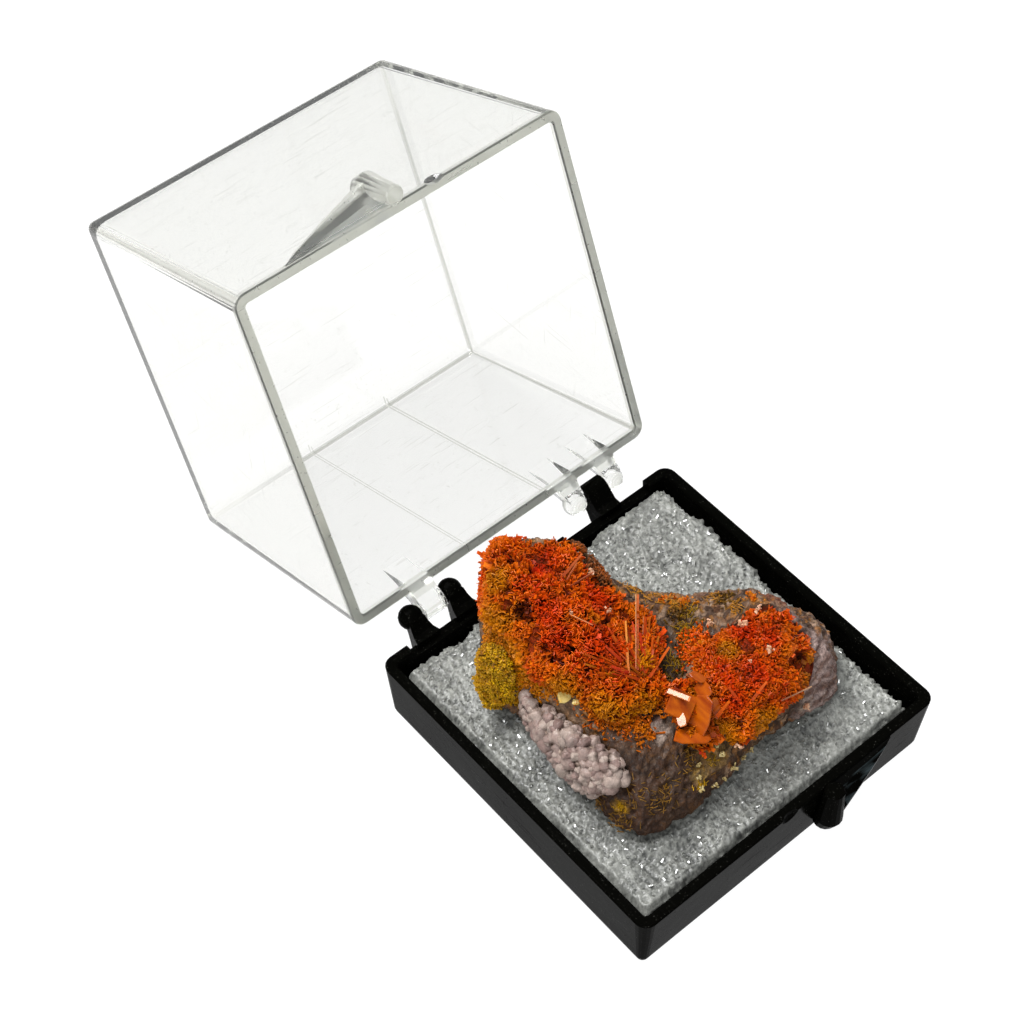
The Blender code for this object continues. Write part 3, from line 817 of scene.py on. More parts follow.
# %% Pale lump
points, faces, outward = refined("pale_lump", 3)
fine = cloudy(points, 0.3 * MM, 3, 4.0)
spread = cloudy(points, 1.6 * MM, 2, 8.0)
near, gap, _ = cell_walls(points, 0.7 * MM, 2.0)
swell = 0.35 * spread + 0.16 * fine + 0.3 * (0.5 - near) - 0.42
lump_points = points + outward * (swell * MM)[:, None]
mottling = 0.5 + 0.6 * spread + 0.5 * fine
colors = blend_colors(screen(92, 72, 60), screen(140, 122, 110), mottling)
colors = blend_colors(colors, screen(58, 40, 32), 0.8 * (1 - smooth_step(0.0, 0.2, gap)))
pale, tree, skin = tinted(
    "waxy_pale_mineral", 0.15 * MM, 0.8, 1.2, roughness=0.42, IOR=1.5, Specular_IOR_Level=0.35
)
relief(tree, skin, grain(tree, 0.12 * MM, 3.0), 0.04 * MM)
piece = add_piece("pale_bed", lump_points, faces, colors, pale, "pale_mineral")
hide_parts("pale_lump")

# %% [markdown]
# ## Crystals as tablets
#
# Wulfenite grows as thin, square-cornered tablets. Here they are fine blades, and each is a small
# box with its own direction, so thousands of them make one mesh. A blade is painted dark red at its
# root and orange at its tip: painted shade where light is lost between the roots.

# %% Tablet mesh
def unit(vectors):
    """The same directions, one long."""
    return vectors / np.maximum(np.linalg.norm(vectors, axis=1, keepdims=True), 1e-12)


def astray(*shape):
    """Random amounts, mostly between -1 and 1."""
    return rng.normal(size=shape)


BOX_SIGNS = np.array([(x, y, z) for x in (-1, 1) for y in (-1, 1) for z in (-1, 1)], float)
BOX_FACES = np.array([
    (0, 1, 3, 2), (4, 6, 7, 5), (0, 4, 5, 1), (2, 3, 7, 6), (0, 2, 6, 4), (1, 5, 7, 3),
])


def tablets(centers, along, sizes, root_colors, tip_colors, narrow=0.75, aside=None):
    """Points, faces and colours of many small tablets. Sizes are length, width and thickness."""
    count = len(centers)
    if aside is None:
        aside = unit(np.cross(along, astray(count, 3)))
    third = np.cross(along, aside)
    signs = np.repeat(BOX_SIGNS[None], count, axis=0)
    shrink = np.where(signs[:, :, 0] > 0, narrow, 1.0)
    points = centers[:, None] + 0.5 * (
        signs[:, :, :1] * (along * sizes[:, :1])[:, None]
        + (signs[:, :, 1] * shrink)[:, :, None] * (aside * sizes[:, 1:2])[:, None]
        + signs[:, :, 2:] * (third * sizes[:, 2:])[:, None]
    )
    faces = BOX_FACES[None] + 8 * np.arange(count)[:, None, None]
    colors = np.where(signs[:, :, :1] > 0, tip_colors[:, None], root_colors[:, None])
    return points.reshape(-1, 3), faces.reshape(-1, 4), colors.reshape(-1, 3)


def random_sizes(count, length, width, thick):
    """Random sizes in millimetres between pairs of limits, turned into metres."""
    return np.stack([rng.uniform(*limits, count) for limits in (length, width, thick)], axis=1) * MM


# %% [markdown]
# ## Scattering over a growth
#
# Crystals belong on the outer side of a growth, not on the side that is buried in the rock. A
# triangle whose outward direction points back to the rock is left out, and the others are picked
# as often as their area says, so that the cover is even.

# %% Scatter
def scatter(node, count):
    """Random points on the outer side of a growth, with their outward directions."""
    mesh = nodes[node].data
    mesh.calc_loop_triangles()
    places = np.array([vertex.co[:] for vertex in mesh.vertices])
    corners = places[np.array([triangle.vertices[:] for triangle in mesh.loop_triangles])]
    face_out = np.cross(corners[:, 1] - corners[:, 0], corners[:, 2] - corners[:, 0])
    area = np.linalg.norm(face_out, axis=1)
    face_out = unit(face_out)
    for index, middle_point in enumerate(corners.mean(1)):
        foot = rock_tree.find_nearest(middle_point)[0]
        if np.dot(middle_point - np.array(foot), face_out[index]) <= 0:
            area[index] = 0.0
    chosen = rng.choice(len(area), count, p=area / area.sum())
    first, second = rng.random((2, count))
    fold = first + second > 1
    first[fold], second[fold] = 1 - first[fold], 1 - second[fold]
    picked = corners[chosen]
    points = picked[:, 0] + first[:, None] * (picked[:, 1] - picked[:, 0])
    points += second[:, None] * (picked[:, 2] - picked[:, 0])
    return points, face_out[chosen]


# %% [markdown]
# ## Grapes on the pale lump
#
# The knobs are small balls of many sizes, half sunk in the bed. A ball is made once from a fine
# mesh, then copied, squashed and dented for each knob, so that no two are alike. A few pits are
# left between them.

# %% Grapes
def grapes(name, places, away, radii, shades, finish, slot):
    """Dented balls at some places, in colours between two shades, with painted shade at their feet.
    """
    form = bmesh.new()
    bmesh.ops.create_icosphere(form, subdivisions=3, radius=1.0)
    ball = np.array([vertex.co[:] for vertex in form.verts])
    ball_faces = np.array([[vertex.index for vertex in face.verts] for face in form.faces])
    form.free()
    count = len(places)
    stretch = rng.uniform(0.75, 1.25, (count, 1, 3))
    points = (places[:, None] + ball[None] * stretch * radii[:, None, None]).reshape(-1, 3)
    points += np.tile(ball, (count, 1)) * (0.2 * MM * cloudy(points, 0.45 * MM, 3, 4.0))[:, None]
    above = (ball[None] * away[:, None]).sum(2)
    colors = np.repeat(blend_colors(*shades, rng.random(count)), len(ball), axis=0)
    # Painted shade: each ball is darkened towards its foot, where it meets the bed.
    colors *= (0.7 + 0.3 * smooth_step(0.2, 0.8, above)).reshape(-1, 1)
    colors *= (1 + 0.3 * cloudy(points, 0.6 * MM, 2, 9.0))[:, None]
    faces = (ball_faces[None] + len(ball) * np.arange(count)[:, None, None]).reshape(-1, 3)
    return add_piece(name, points, faces, colors, finish, slot)


PITS = ((541, 702, 0.6), (598, 770, 0.3), (560, 712, 0.4), (560, 745, 0.35), (630, 755, 0.5))
LARGE_KNOBS = 24
places, away = scatter("pale_lump", 230)
pit = patches(places, PITS)
places, away = places[pit < 0.5], away[pit < 0.5]
radii = rng.uniform(0.28, 0.62, len(places)) * MM
radii[:LARGE_KNOBS] *= 1.5
places = places - away * (0.88 * radii + 0.04 * MM)[:, None]
shades = (screen(112, 90, 84), screen(150, 134, 124))
grapes("pale_grapes", places, away, radii, shades, pale, "pale_mineral")

# %% [markdown]
# ## The wulfenite: finish and colours
#
# Both masses and the ledge of plates between them are made the same way: a bed that follows the
# plain solid, painted dark red-brown as the shade between the blades, and blades on it. Colour
# runs from red in the middle of the masses to amber towards the left end.

# %% Wulfenite finishes and colours
wulfenite, tree, skin = tinted(
    "wulfenite", 0.2 * MM, 0.85, 1.15, roughness=0.42, IOR=1.6, Specular_IOR_Level=0.1
)
relief(tree, skin, grain(tree, 0.08 * MM, 2.0), 0.01 * MM)
bed_finish, tree, skin = tinted(
    "crystal_bed", 0.12 * MM, 0.7, 1.3, roughness=0.8, IOR=1.5, Specular_IOR_Level=0.1
)
relief(tree, skin, grain(tree, 0.18 * MM, 4.0), 0.1 * MM)

RED = screen(190, 38, 0)
ORANGE = screen(198, 92, 4)
AMBER = screen(184, 116, 6)
OLIVE = screen(158, 122, 4)
# A dark red used only as painted shade on the blades.
PAINTED_SHADE_RED = screen(72, 14, 2)
print("finishes:", wulfenite.name, bed_finish.name)

# %% [markdown]
# ## The wulfenite: where it ends
#
# The masses end where the photograph shows bare rock. Their outlines are given in pixels, made
# ragged by noise. The test is the usual one for polygons: a point is inside if a line from it
# crosses the outline an odd number of times.

# %% Outlines in the photograph
OUTLINE_SOFT = 6.0


def pixels(points):
    """The pixels of the photograph where some points are seen."""
    offset = points - np.array(eye)
    away = -offset @ np.array(to_camera)
    across = PHOTO_SIDE / 2 + FOCAL_PIXELS * (offset @ np.array(view_right)) / away
    down = PHOTO_SIDE / 2 - FOCAL_PIXELS * (offset @ np.array(view_up)) / away
    return across, down


def outside(points, outline, ragged=5.0):
    """How far points lie outside an outline, from 0 inside it to 1 a few pixels out."""
    across, down = pixels(points)
    across = across + ragged * cloudy(points, 0.7 * MM, 2, 15.0)
    down = down + ragged * cloudy(points, 0.7 * MM, 2, 25.0)
    inside = np.zeros(len(points), bool)
    nearest = np.full(len(points), 1e9)
    for (x0, y0), (x1, y1) in zip(outline, outline[1:] + outline[:1]):
        step_x, step_y = x1 - x0, y1 - y0
        crossing = (y0 > down) != (y1 > down)
        inside ^= crossing & (across < step_x * (down - y0) / (step_y + 1e-9) + x0)
        share = ((across - x0) * step_x + (down - y0) * step_y) / (step_x**2 + step_y**2)
        share = np.clip(share, 0, 1)
        from_side = np.hypot(across - x0 - share * step_x, down - y0 - share * step_y)
        nearest = np.minimum(nearest, from_side)
    return smooth_step(0.0, OUTLINE_SOFT, np.where(inside, 0.0, nearest))


# %% [markdown]
# ## The wulfenite: its bed
#
# The bed is the refined solid, roughened. It sinks into hollows where the photograph shows them,
# and there it is painted darker, as shade. Beyond the outline it sinks further and looks like
# bare rock.

# %% Crystal bed
def crystal_bed(node, hollows, outline):
    """The bed of a mass, which takes the place of its plain solid."""
    points, faces, outward = refined(node, 2)
    bumpy = cloudy(points, 0.5 * MM, 3, 3.0)
    open_rock = outside(points, outline)
    pits = patches(points, hollows, 0.4)
    bed = points + outward * ((0.25 * bumpy - 0.28 - 0.4 * open_rock - 0.6 * pits) * MM)[:, None]
    bed += outward * (open_rock * crags(points) * MM)[:, None]
    # Painted shade: the bed is dark red-brown, as the shade that shows between the blades.
    colors = blend_colors(screen(52, 12, 0), screen(116, 36, 0), 0.5 + 0.7 * bumpy)
    # Painted shade: the hollows are darkened further.
    colors = blend_colors(colors, screen(34, 8, 2), pits)
    colors = blend_colors(colors, rock_colors(points), smooth_step(0.2, 0.6, open_rock))
    piece = add_piece(f"{node}_bed", bed, faces, colors, bed_finish, "wulfenite")
    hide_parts(node)


# %% [markdown]
# ## The wulfenite: tufts of blades
#
# The blades crowd into rounded tufts that fan out from a point below the surface. So some random
# places are the hearts of tufts, and each blade points away from the root of its nearest heart.
# A tuft is highest in its middle, and a few tufts are left low, as gaps. Blades of high tufts are
# painted lighter, a painted highlight, and low tufts, hollows and the borders between tufts get
# painted shade.

# %% Blades in tufts
BLADE_THICK = (0.03, 0.07)


def blade_tips(places, tone, raised, reach, sink, reds, ambers):
    """The colours of the blades' tips, with painted light and shade. Tone runs from -1, amber, to
    1, red.
    """
    count = len(places)
    tip = blend_colors(ORANGE, RED, tone + 0.2 * astray(count))
    tip = blend_colors(tip, RED, 0.75 * patches(places, reds, 0.7))
    tip = blend_colors(tip, AMBER, 0.85 * patches(places, ambers, 0.5))
    tip = blend_colors(tip, AMBER, 0.6 * smooth_step(0.1, 0.5, -tone))
    # Painted highlight: tips of higher tufts are lighter.
    tip = tip * (0.66 + 0.22 * raised[:, None] + 0.24 * rng.random((count, 1)))
    # Painted shade from here on: low tufts, hollows and the far borders of tufts turn dark red.
    tip = blend_colors(tip, PAINTED_SHADE_RED, 0.5 * (raised < 0) * smooth_step(0.9, 0.3, reach))
    tip = blend_colors(tip, PAINTED_SHADE_RED, 0.9 * sink)
    return blend_colors(tip, PAINTED_SHADE_RED, 0.35 * smooth_step(0.8, 1.3, reach))


def crystal_growth(
    node, blades, tufts, lengths, widths, red_share, reds, ambers, hollows, outline,
    swell=0.4, gaps=0.1,
):
    """A bed and its blades. Reds, ambers and hollows are lists of (across, down, reach)."""
    crystal_bed(node, hollows, outline)
    places, away = scatter(node, blades)
    hearts = rng.choice(blades, tufts, replace=False)
    distance = np.linalg.norm(places[:, None] - places[None, hearts], axis=2)
    tuft = distance.argmin(1)
    reach = distance.min(1) / MM
    depth = rng.uniform(0.6, 1.8, tufts)
    height = rng.uniform(0.0, 1.0, tufts)
    height[rng.random(tufts) < gaps] = -0.9
    roots = places[hearts] - away[hearts] * (depth * MM)[:, None]
    along = unit(unit(places - roots[tuft]) + 0.25 * away + 0.42 * astray(blades, 3))
    sizes = random_sizes(blades, lengths, widths, BLADE_THICK)
    sizes *= (0.75 + 0.5 * rng.random(tufts)[tuft])[:, None]
    sink = patches(places, hollows, 0.3)
    lift = swell * (height[tuft] - 0.45 * reach**2) + 0.1 * astray(blades) - 0.7 * sink
    centers = places + along * (lift * MM - 0.2 * sizes[:, 0])[:, None] - away * (0.15 * MM)

    tone = red_share + 0.45 * cloudy(places, 1.6 * MM, 2, 6.0) + 0.15 * astray(tufts)[tuft]
    tip = blade_tips(places, tone, height[tuft], reach, sink, reds, ambers)
    kept = outside(places, outline) < 0.3 + 0.3 * rng.random(blades)
    # Painted shade: each blade's root is darker than its tip.
    root = tip * (0.52, 0.3, 0.3)
    shape = tablets(centers[kept], along[kept], sizes[kept], root[kept], tip[kept])
    add_piece(f"{node}_blades", *shape, wulfenite, "wulfenite", smooth=False)


# %% [markdown]
# ## The left mass
#
# The largest mass covers the left end and reaches to the middle. It is reddest along its middle
# and amber at its left and lower edges, with about a dozen hollows that are painted dark as shade.

# %% Left mass
LEFT_OUTLINE = [
    (488, 543), (499, 541), (518, 543), (533, 545), (550, 544), (567, 545), (575, 556), (580, 567),
    (594, 578), (606, 592), (618, 597), (625, 606), (640, 609), (652, 615), (658, 628), (664, 640),
    (661, 649), (654, 657), (652, 666), (661, 678), (671, 687), (676, 699), (671, 713), (659, 730),
    (637, 735), (611, 730), (590, 715), (570, 702), (538, 695), (510, 712), (470, 712), (470, 560),
    (480, 550),
]
crystal_growth(
    "wulfenite_left", 8000, 170, (0.4, 0.85), (0.18, 0.52), 0.15,
    reds=((545, 562, 1.4), (550, 612, 1.6), (600, 645, 1.6), (560, 640, 1.2), (598, 600, 1.3)),
    ambers=((505, 660, 2.2), (520, 690, 2.4), (495, 620, 1.5), (495, 580, 1.2),
            (640, 720, 2.0), (600, 715, 1.6), (640, 660, 1.0), (565, 690, 1.4)),
    hollows=((524, 611, 0.8), (528, 618, 0.5), (532, 570, 0.35), (515, 665, 0.4),
             (571, 650, 0.4), (545, 648, 0.4), (610, 620, 0.35), (575, 700, 0.5),
             (508, 590, 0.4), (512, 560, 0.4), (555, 660, 0.4), (590, 668, 0.35)),
    outline=LEFT_OUTLINE, gaps=0.07,
)

# %% [markdown]
# ## The right mass and the ledge
#
# The right mass is rounder, finer and a little redder. The ledge between the two masses has only
# a thin cover, because the large plates stand on it.

# %% Right mass and ledge
RIGHT_OUTLINE = [
    (683, 629), (703, 627), (727, 629), (742, 629), (748, 618), (761, 613), (775, 612), (785, 616),
    (795, 628), (804, 642), (811, 652), (813, 670), (811, 690), (806, 699), (790, 703), (775, 712),
    (761, 727), (744, 735), (737, 750), (700, 756), (680, 740), (684, 690), (692, 675), (694, 663),
    (688, 651), (683, 639),
]
crystal_growth(
    "wulfenite_right", 6000, 75, (0.35, 0.75), (0.14, 0.42), 0.2,
    reds=((745, 632, 1.4), (752, 672, 1.4), (735, 700, 1.0), (772, 640, 1.0)),
    ambers=((700, 640, 1.2), (812, 670, 1.4), (720, 738, 1.5), (765, 722, 1.4),
            (800, 700, 1.4), (730, 650, 0.8)),
    hollows=((804, 655, 0.45), (793, 638, 0.3), (725, 665, 0.3), (790, 705, 0.45),
             (740, 725, 0.4), (780, 690, 0.3)),
    outline=RIGHT_OUTLINE, swell=0.3,
)
crystal_growth(
    "wulfenite_plates", 700, 12, (0.4, 0.8), (0.2, 0.5), 0.0,
    reds=((700, 700, 0.8),), ambers=((690, 740, 1.0),), hollows=(),
    outline=[(660, 670), (720, 670), (720, 756), (660, 756)], swell=0.15,
)

# %% [markdown]
# ## The mimetite crust
#
# Mimetite covers the left end as a fine velvet of yellow-green grains. The bed swells in two
# sizes of lumps, and the grains are stubby tablets, half as large as the wulfenite's, that stand
# on the same swellings.

# %% Mimetite bed
def mimetite_swell(points):
    """How far the crust swells at each point, in millimetres."""
    return 0.3 * cloudy(points, 0.5 * MM, 3, 3.0) + 0.35 * cloudy(points, 1.3 * MM, 2, 7.0)


mimetite, tree, skin = tinted(
    "mimetite", 0.15 * MM, 0.8, 1.2, roughness=0.5, IOR=1.5, Specular_IOR_Level=0.2
)
relief(tree, skin, grain(tree, 0.08 * MM, 2.0), 0.01 * MM)
points, faces, outward = refined("mimetite_crust", 2)
bed = points + outward * ((mimetite_swell(points) - 0.2) * MM)[:, None]
colors = blend_colors(screen(80, 52, 0), OLIVE, 0.5 + cloudy(points, 0.5 * MM, 3, 3.0))
piece = add_piece("mimetite_bed", bed, faces, colors, mimetite, "mimetite")
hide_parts("mimetite_crust")


# %% [markdown]
# ## Mimetite grains
#
# A cover of grains is made by one helper, because the same kind of cover is used again for the
# crystals that creep over the rock.

# %% Mimetite grains
def grain_cover(name, places, away, shades, lengths, widths, finish, slot, upright=0.6):
    """Stubby grains at some places, in colours between two shades."""
    count = len(places)
    along = unit(away + upright * astray(count, 3))
    share = 0.5 + 0.6 * cloudy(places, 0.8 * MM, 2, 1.0) + 0.2 * astray(count)
    tip = blend_colors(*shades, share)
    tip = tip * (0.6 + 0.6 * rng.random((count, 1)))
    sizes = random_sizes(count, lengths, widths, (0.05, 0.1))
    # Painted shade: each grain's root is darker than its tip.
    shape = tablets(places + along * (0.05 * MM), along, sizes, tip * 0.4, tip)
    return add_piece(name, *shape, finish, slot, smooth=False)


places, away = scatter("mimetite_crust", 2600)
places = places + away * (mimetite_swell(places) * MM)[:, None]
grain_cover(
    "mimetite_grains", places, away, (screen(186, 146, 0), screen(156, 102, 4)),
    (0.25, 0.5), (0.1, 0.22), mimetite, "mimetite",
)

# %% [markdown]
# ## Growth that creeps over the rock
#
# The crystals do not stop at the edge of a mass. Ochre blades reach down from the left mass to
# the mimetite, a fringe hangs over the front, and some have grown on the bare rock. They are
# scattered round places in the photograph and set on the rock below, so they never float.

# %% Creeping growth
def on_rock(spots, count, tree=rock_tree):
    """Random places on the rock round some pixels, each (across, down, spread in millimetres)."""
    places, away = [], []
    for across, down, spread in (spots[index] for index in rng.integers(0, len(spots), count)):
        center, _ = spot(across, down)
        hit, outward_here, _, _ = tree.find_nearest(center + astray(3) * spread * 0.5 * MM)
        places.append(hit)
        away.append(outward_here)
    return np.array(places), np.array(away)


# Each row is a name, a count, the spots, two shades, and the limits of length and width.
creep = (
    ("ochre_blades", 1300,
     [(492, 630, 1.0), (490, 642, 0.8), (502, 642, 0.8), (514, 652, 0.8), (497, 655, 1.0),
      (508, 672, 1.2), (522, 680, 1.2), (538, 686, 1.2), (552, 690, 1.0)],
     (AMBER, screen(176, 92, 8)), (0.4, 0.8), (0.15, 0.35)),
    ("fringe_blades", 900,
     [(600, 712, 1.5), (622, 722, 1.5), (640, 728, 1.2), (660, 700, 1.2), (585, 702, 1.2),
      (655, 690, 1.2)],
     (screen(180, 98, 6), screen(172, 76, 4)), (0.4, 0.9), (0.08, 0.25)),
    ("left_lobe_blades", 900,
     [(695, 640, 1.3), (705, 655, 1.2), (700, 670, 1.0), (712, 640, 1.0), (692, 655, 1.0)],
     (ORANGE, screen(206, 72, 4)), (0.35, 0.7), (0.12, 0.32)),
    ("edge_blades", 320,
     [(640, 588, 0.8), (665, 600, 0.8), (750, 597, 0.7), (757, 600, 0.6), (685, 602, 0.8),
      (590, 557, 0.6), (600, 570, 0.6)],
     (AMBER, screen(188, 84, 14)), (0.3, 0.6), (0.1, 0.25)),
    ("hollow_blades", 260,
     [(680, 615, 0.9), (685, 640, 1.0), (676, 660, 1.0), (665, 680, 0.8), (725, 600, 1.0)],
     (screen(112, 80, 22), screen(80, 52, 18)), (0.3, 0.7), (0.08, 0.2)),
    ("mimetite_creep", 700,
     [(497, 648, 0.8), (510, 690, 0.9), (516, 678, 0.8), (506, 702, 0.7), (490, 660, 0.7)],
     (screen(186, 140, 0), screen(166, 104, 4)), (0.25, 0.5), (0.1, 0.25)),
)
for name, count, spots, *looks in creep:
    grain_cover(name, *on_rock(spots, count), *looks, wulfenite, "wulfenite", 0.8)

# %% [markdown]
# ## The brow
#
# At its upper right the left mass ends in a bare shoulder, which is dusted with short brown
# blades. That shoulder belongs to the mass, so these are set on the whole specimen instead.

# %% Brow blades
BROW = ((588, 553, 0.9), (596, 566, 0.8), (580, 547, 0.7), (603, 576, 0.7))
grain_cover(
    "brow_blades", *on_rock(BROW, 420, specimen_tree), (screen(150, 74, 20), screen(96, 64, 40)),
    (0.3, 0.6), (0.1, 0.25), wulfenite, "wulfenite", 0.8,
)

# %% [markdown]
# ## Needles
#
# Thin golden needles lie over the rock: along its upper edge, in the hollow between the masses
# and over its dark front. They are the same tablets as before, made narrow and laid nearly flat.

# %% Needles on the rock
def needles(name, spots, count, length, shade, lying=0.75):
    """Fine needles scattered round some pixels and laid nearly flat."""
    places, away = on_rock(spots, count)
    flat_way = unit(np.cross(away, astray(count, 3)))
    along = unit(flat_way * lying + away * (1 - lying) + 0.15 * astray(count, 3))
    sizes = random_sizes(count, (0.5 * length, length), (0.04, 0.09), (0.03, 0.06))
    tip = shade * (0.5 + 0.9 * rng.random((count, 1)))
    lift = (crags(places) + 0.1) * MM
    # Painted shade: each needle's root is darker than its tip.
    shape = tablets(places + away * lift[:, None], along, sizes, tip * 0.45, tip, 0.5)
    return add_piece(name, *shape, wulfenite, "wulfenite", smooth=False)


needles(
    "needles_upper_edge",
    [(632, 590, 1.0), (650, 598, 1.0), (672, 604, 1.0), (715, 597, 0.9), (735, 608, 0.7)],
    170, 0.9, screen(176, 118, 34),
)
needles(
    "needles_hollow", [(690, 612, 0.8), (683, 628, 0.8), (672, 665, 1.0)],
    110, 0.8, screen(150, 112, 20),
)
needles(
    "needles_front",
    [(600, 800, 1.4), (640, 800, 1.6), (665, 790, 1.6), (690, 760, 1.2), (620, 820, 1.2)],
    240, 0.6, screen(124, 88, 30),
)
needles(
    "needles_gold", [(620, 808, 0.6), (700, 785, 0.6), (712, 760, 0.6)],
    60, 0.45, screen(176, 132, 10),
)

# %% [markdown]
# ## Sparkles in the foam
#
# Where a clear cell wall happens to mirror the light, the foam shows a tiny white spark. Painted
# white dots would not move with the light, so these are real flakes of clear film on the pad. Two
# thirds lie at every angle. The others are turned roughly halfway between light and eye, and
# those that come close enough light up.

# %% Foam flakes
FLAKES, SPARKS = 2600, 900
film_finish, tree, skin = new_finish("shiny_cell_film", screen(120, 121, 116), 0.06, IOR=2.4)
relief(tree, skin, grain(tree, 0.1 * MM, 1.0), 0.01 * MM)
shade = steps(
    tree, grain(tree, 0.1 * MM, 1.0), (0.4, screen(96, 97, 92)), (0.6, screen(140, 141, 135))
)
tree.links.new(shade, skin.inputs["Base Color"])
inner = np.flatnonzero((edge < 0.95) & (near_rock > 0.3 * MM))
places = top[rng.choice(inner, FLAKES, replace=False)]
along = unit(astray(FLAKES, 3) * (1.0, 1.0, 0.45))
sizes = random_sizes(FLAKES, (0.1, 0.3), (0.05, 0.14), (0.01, 0.02))
plain = np.ones((FLAKES, 3))
facing = unit(np.array(mirroring) + 0.4 * astray(FLAKES, 3))
along[:SPARKS] = unit(np.cross(along, facing))[:SPARKS]
aside = unit(np.cross(along, astray(FLAKES, 3)))
aside[:SPARKS] = unit(np.cross(facing, along))[:SPARKS]
sizes[:SPARKS, :2] *= 1.3
flakes = tablets(places + (0, 0, 0.1 * MM), along, sizes, plain, plain, 0.75, aside)
add_piece("foam_flakes", *flakes, film_finish, "foam", smooth=False)

# %% [markdown]
# ## Long blades
#
# Some blades grew much longer than the rest. A few stand at the middle of the left mass, and a
# few pinkish ones lie at its top and on the right mass. Each is given by the two pixels where it
# starts and ends, and stands a little off the bed.

# %% Long blades
# Each row is the start, the end, the width, the colour and the lift in millimetres.
blade_rows = [
    ((636, 672), (632, 599), 0.30, screen(190, 92, 40), 0.55),
    ((634, 672), (629, 600), 0.07, screen(226, 160, 104), 0.85),
    ((628, 674), (622, 625), 0.22, screen(216, 132, 40), 0.5),
    ((640, 672), (650, 615), 0.34, screen(196, 74, 10), 0.5),
    ((644, 674), (662, 630), 0.30, screen(204, 84, 8), 0.5),
    ((648, 678), (664, 650), 0.28, screen(206, 90, 10), 0.5),
    ((590, 629), (571, 619), 0.09, screen(236, 156, 96), 0.95),
    ((562, 578), (577, 557), 0.26, screen(186, 92, 44), 0.6),
    ((566, 582), (574, 566), 0.20, screen(190, 104, 60), 0.6),
    ((570, 588), (590, 575), 0.30, screen(180, 96, 60), 0.5),
    ((742, 705), (728, 688), 0.30, screen(206, 74, 8), 0.4),
    ((752, 700), (766, 680), 0.26, screen(212, 92, 12), 0.4),
    ((716, 716), (728, 700), 0.30, screen(206, 92, 10), 0.4),
    ((780, 700), (806, 684), 0.12, screen(206, 160, 120), 0.5),
]


def long_blade(start, end, width, shade, lift):
    """Middle, direction, sizes, sideways direction and colour of a blade between two pixels."""
    first, out_first = spot(*start)
    last, out_last = spot(*end)
    first = first + out_first * (lift - 0.3) * MM
    last = last + out_last * (lift + 0.05) * MM
    span = last - first
    face = np.array(to_camera) + 0.6 * astray(3)
    sizes = (np.linalg.norm(span), width * MM, 0.07 * MM)
    return (first + last) / 2, span, sizes, np.cross(span, face), shade


print("long blades given one by one:", len(blade_rows))

# %% [markdown]
# ## The fan
#
# The middle of the left mass is a fan of long blades that spread from one point. Those are drawn
# at random: a direction, how far out the blade starts, and how long it is.

# %% Fan of long blades
FAN_BLADES = 90
FAN_ACROSS, FAN_DOWN = 650, 682
FAN_LIMITS = math.radians(82), math.radians(172)
for _ in range(FAN_BLADES):
    way, near_end = rng.uniform(*FAN_LIMITS), rng.uniform(8, 48)
    far_end = near_end + rng.uniform(12, 24)
    start, end = (
        (FAN_ACROSS + reach * math.cos(way), FAN_DOWN - reach * math.sin(way))
        for reach in (near_end, far_end)
    )
    fan_shade = screen(rng.uniform(170, 208), rng.uniform(50, 104), rng.uniform(2, 14))
    width = rng.uniform(0.12, 0.34)
    blade_rows.append((start, end, width, fan_shade, rng.uniform(0.1, 0.45)))
rows = [long_blade(*row) for row in blade_rows]
centers, spans, sizes, asides, shades = (np.array(column) for column in zip(*rows))
# Painted shade: each long blade's root is darker than its tip.
root, tip = shades * (0.45, 0.3, 0.3), shades * 0.68
shape = tablets(centers, unit(spans), sizes, root, tip, 0.6, unit(asides))
add_piece("long_blades", *shape, wulfenite, "wulfenite", smooth=False)

# %% [markdown]
# ## Large plates: two finishes
#
# Between the two masses a few tablets grew large, one to three millimetres across and smooth
# enough to shine. Two narrow faces mirror the light straight into the camera, so they have a
# glossier finish of their own. Faint streaks keep the faces from looking like plastic.

# %% Plate finishes
def streaked(finish_parts, pattern, darker, lighter, depth):
    """Colours a finish by a pattern, between two stops, and makes it the relief too."""
    finish, tree, skin = finish_parts
    tree.links.new(steps(tree, pattern, darker, lighter), skin.inputs["Base Color"])
    relief(tree, skin, pattern, depth)
    return finish


plate = new_finish(
    "clear_orange_plate", screen(186, 78, 4), 0.25, IOR=1.6, Specular_IOR_Level=0.15
)
lengthwise = own_place(plate[1], (1.0, 0.25, 1.0), (0.5, 0.2, 0.7))
plate_finish = streaked(
    plate, grain(plate[1], 0.7 * MM, 4.0, lengthwise),
    (0.32, screen(116, 34, 0)), (0.68, screen(164, 78, 4)), 0.015 * MM,
)
glint = new_finish("mirroring_crystal_face", screen(190, 96, 30), 0.12, IOR=1.5)
glint_finish = streaked(
    glint, grain(glint[1], 0.4 * MM, 3.0),
    (0.35, screen(150, 84, 40)), (0.65, screen(200, 120, 70)), 0.01 * MM,
)
print("finishes:", plate_finish.name, glint_finish.name)

# %% [markdown]
# ## A bevelled plate
#
# Each plate is a flat prism on an outline, with narrow bevels that catch the light. Its outline
# is a square or a square with broken corners, and its direction is given by the way it faces.

# %% Bevelled plates
SQUARE = ((1, 1), (-1, 1), (-1, -1), (1, -1))
CLIPPED = ((1, 0.6), (0.55, 1), (-0.7, 0.92), (-1, 0.3), (-0.9, -0.8), (-0.2, -1), (0.8, -0.85))
BEVEL = 0.06 * MM


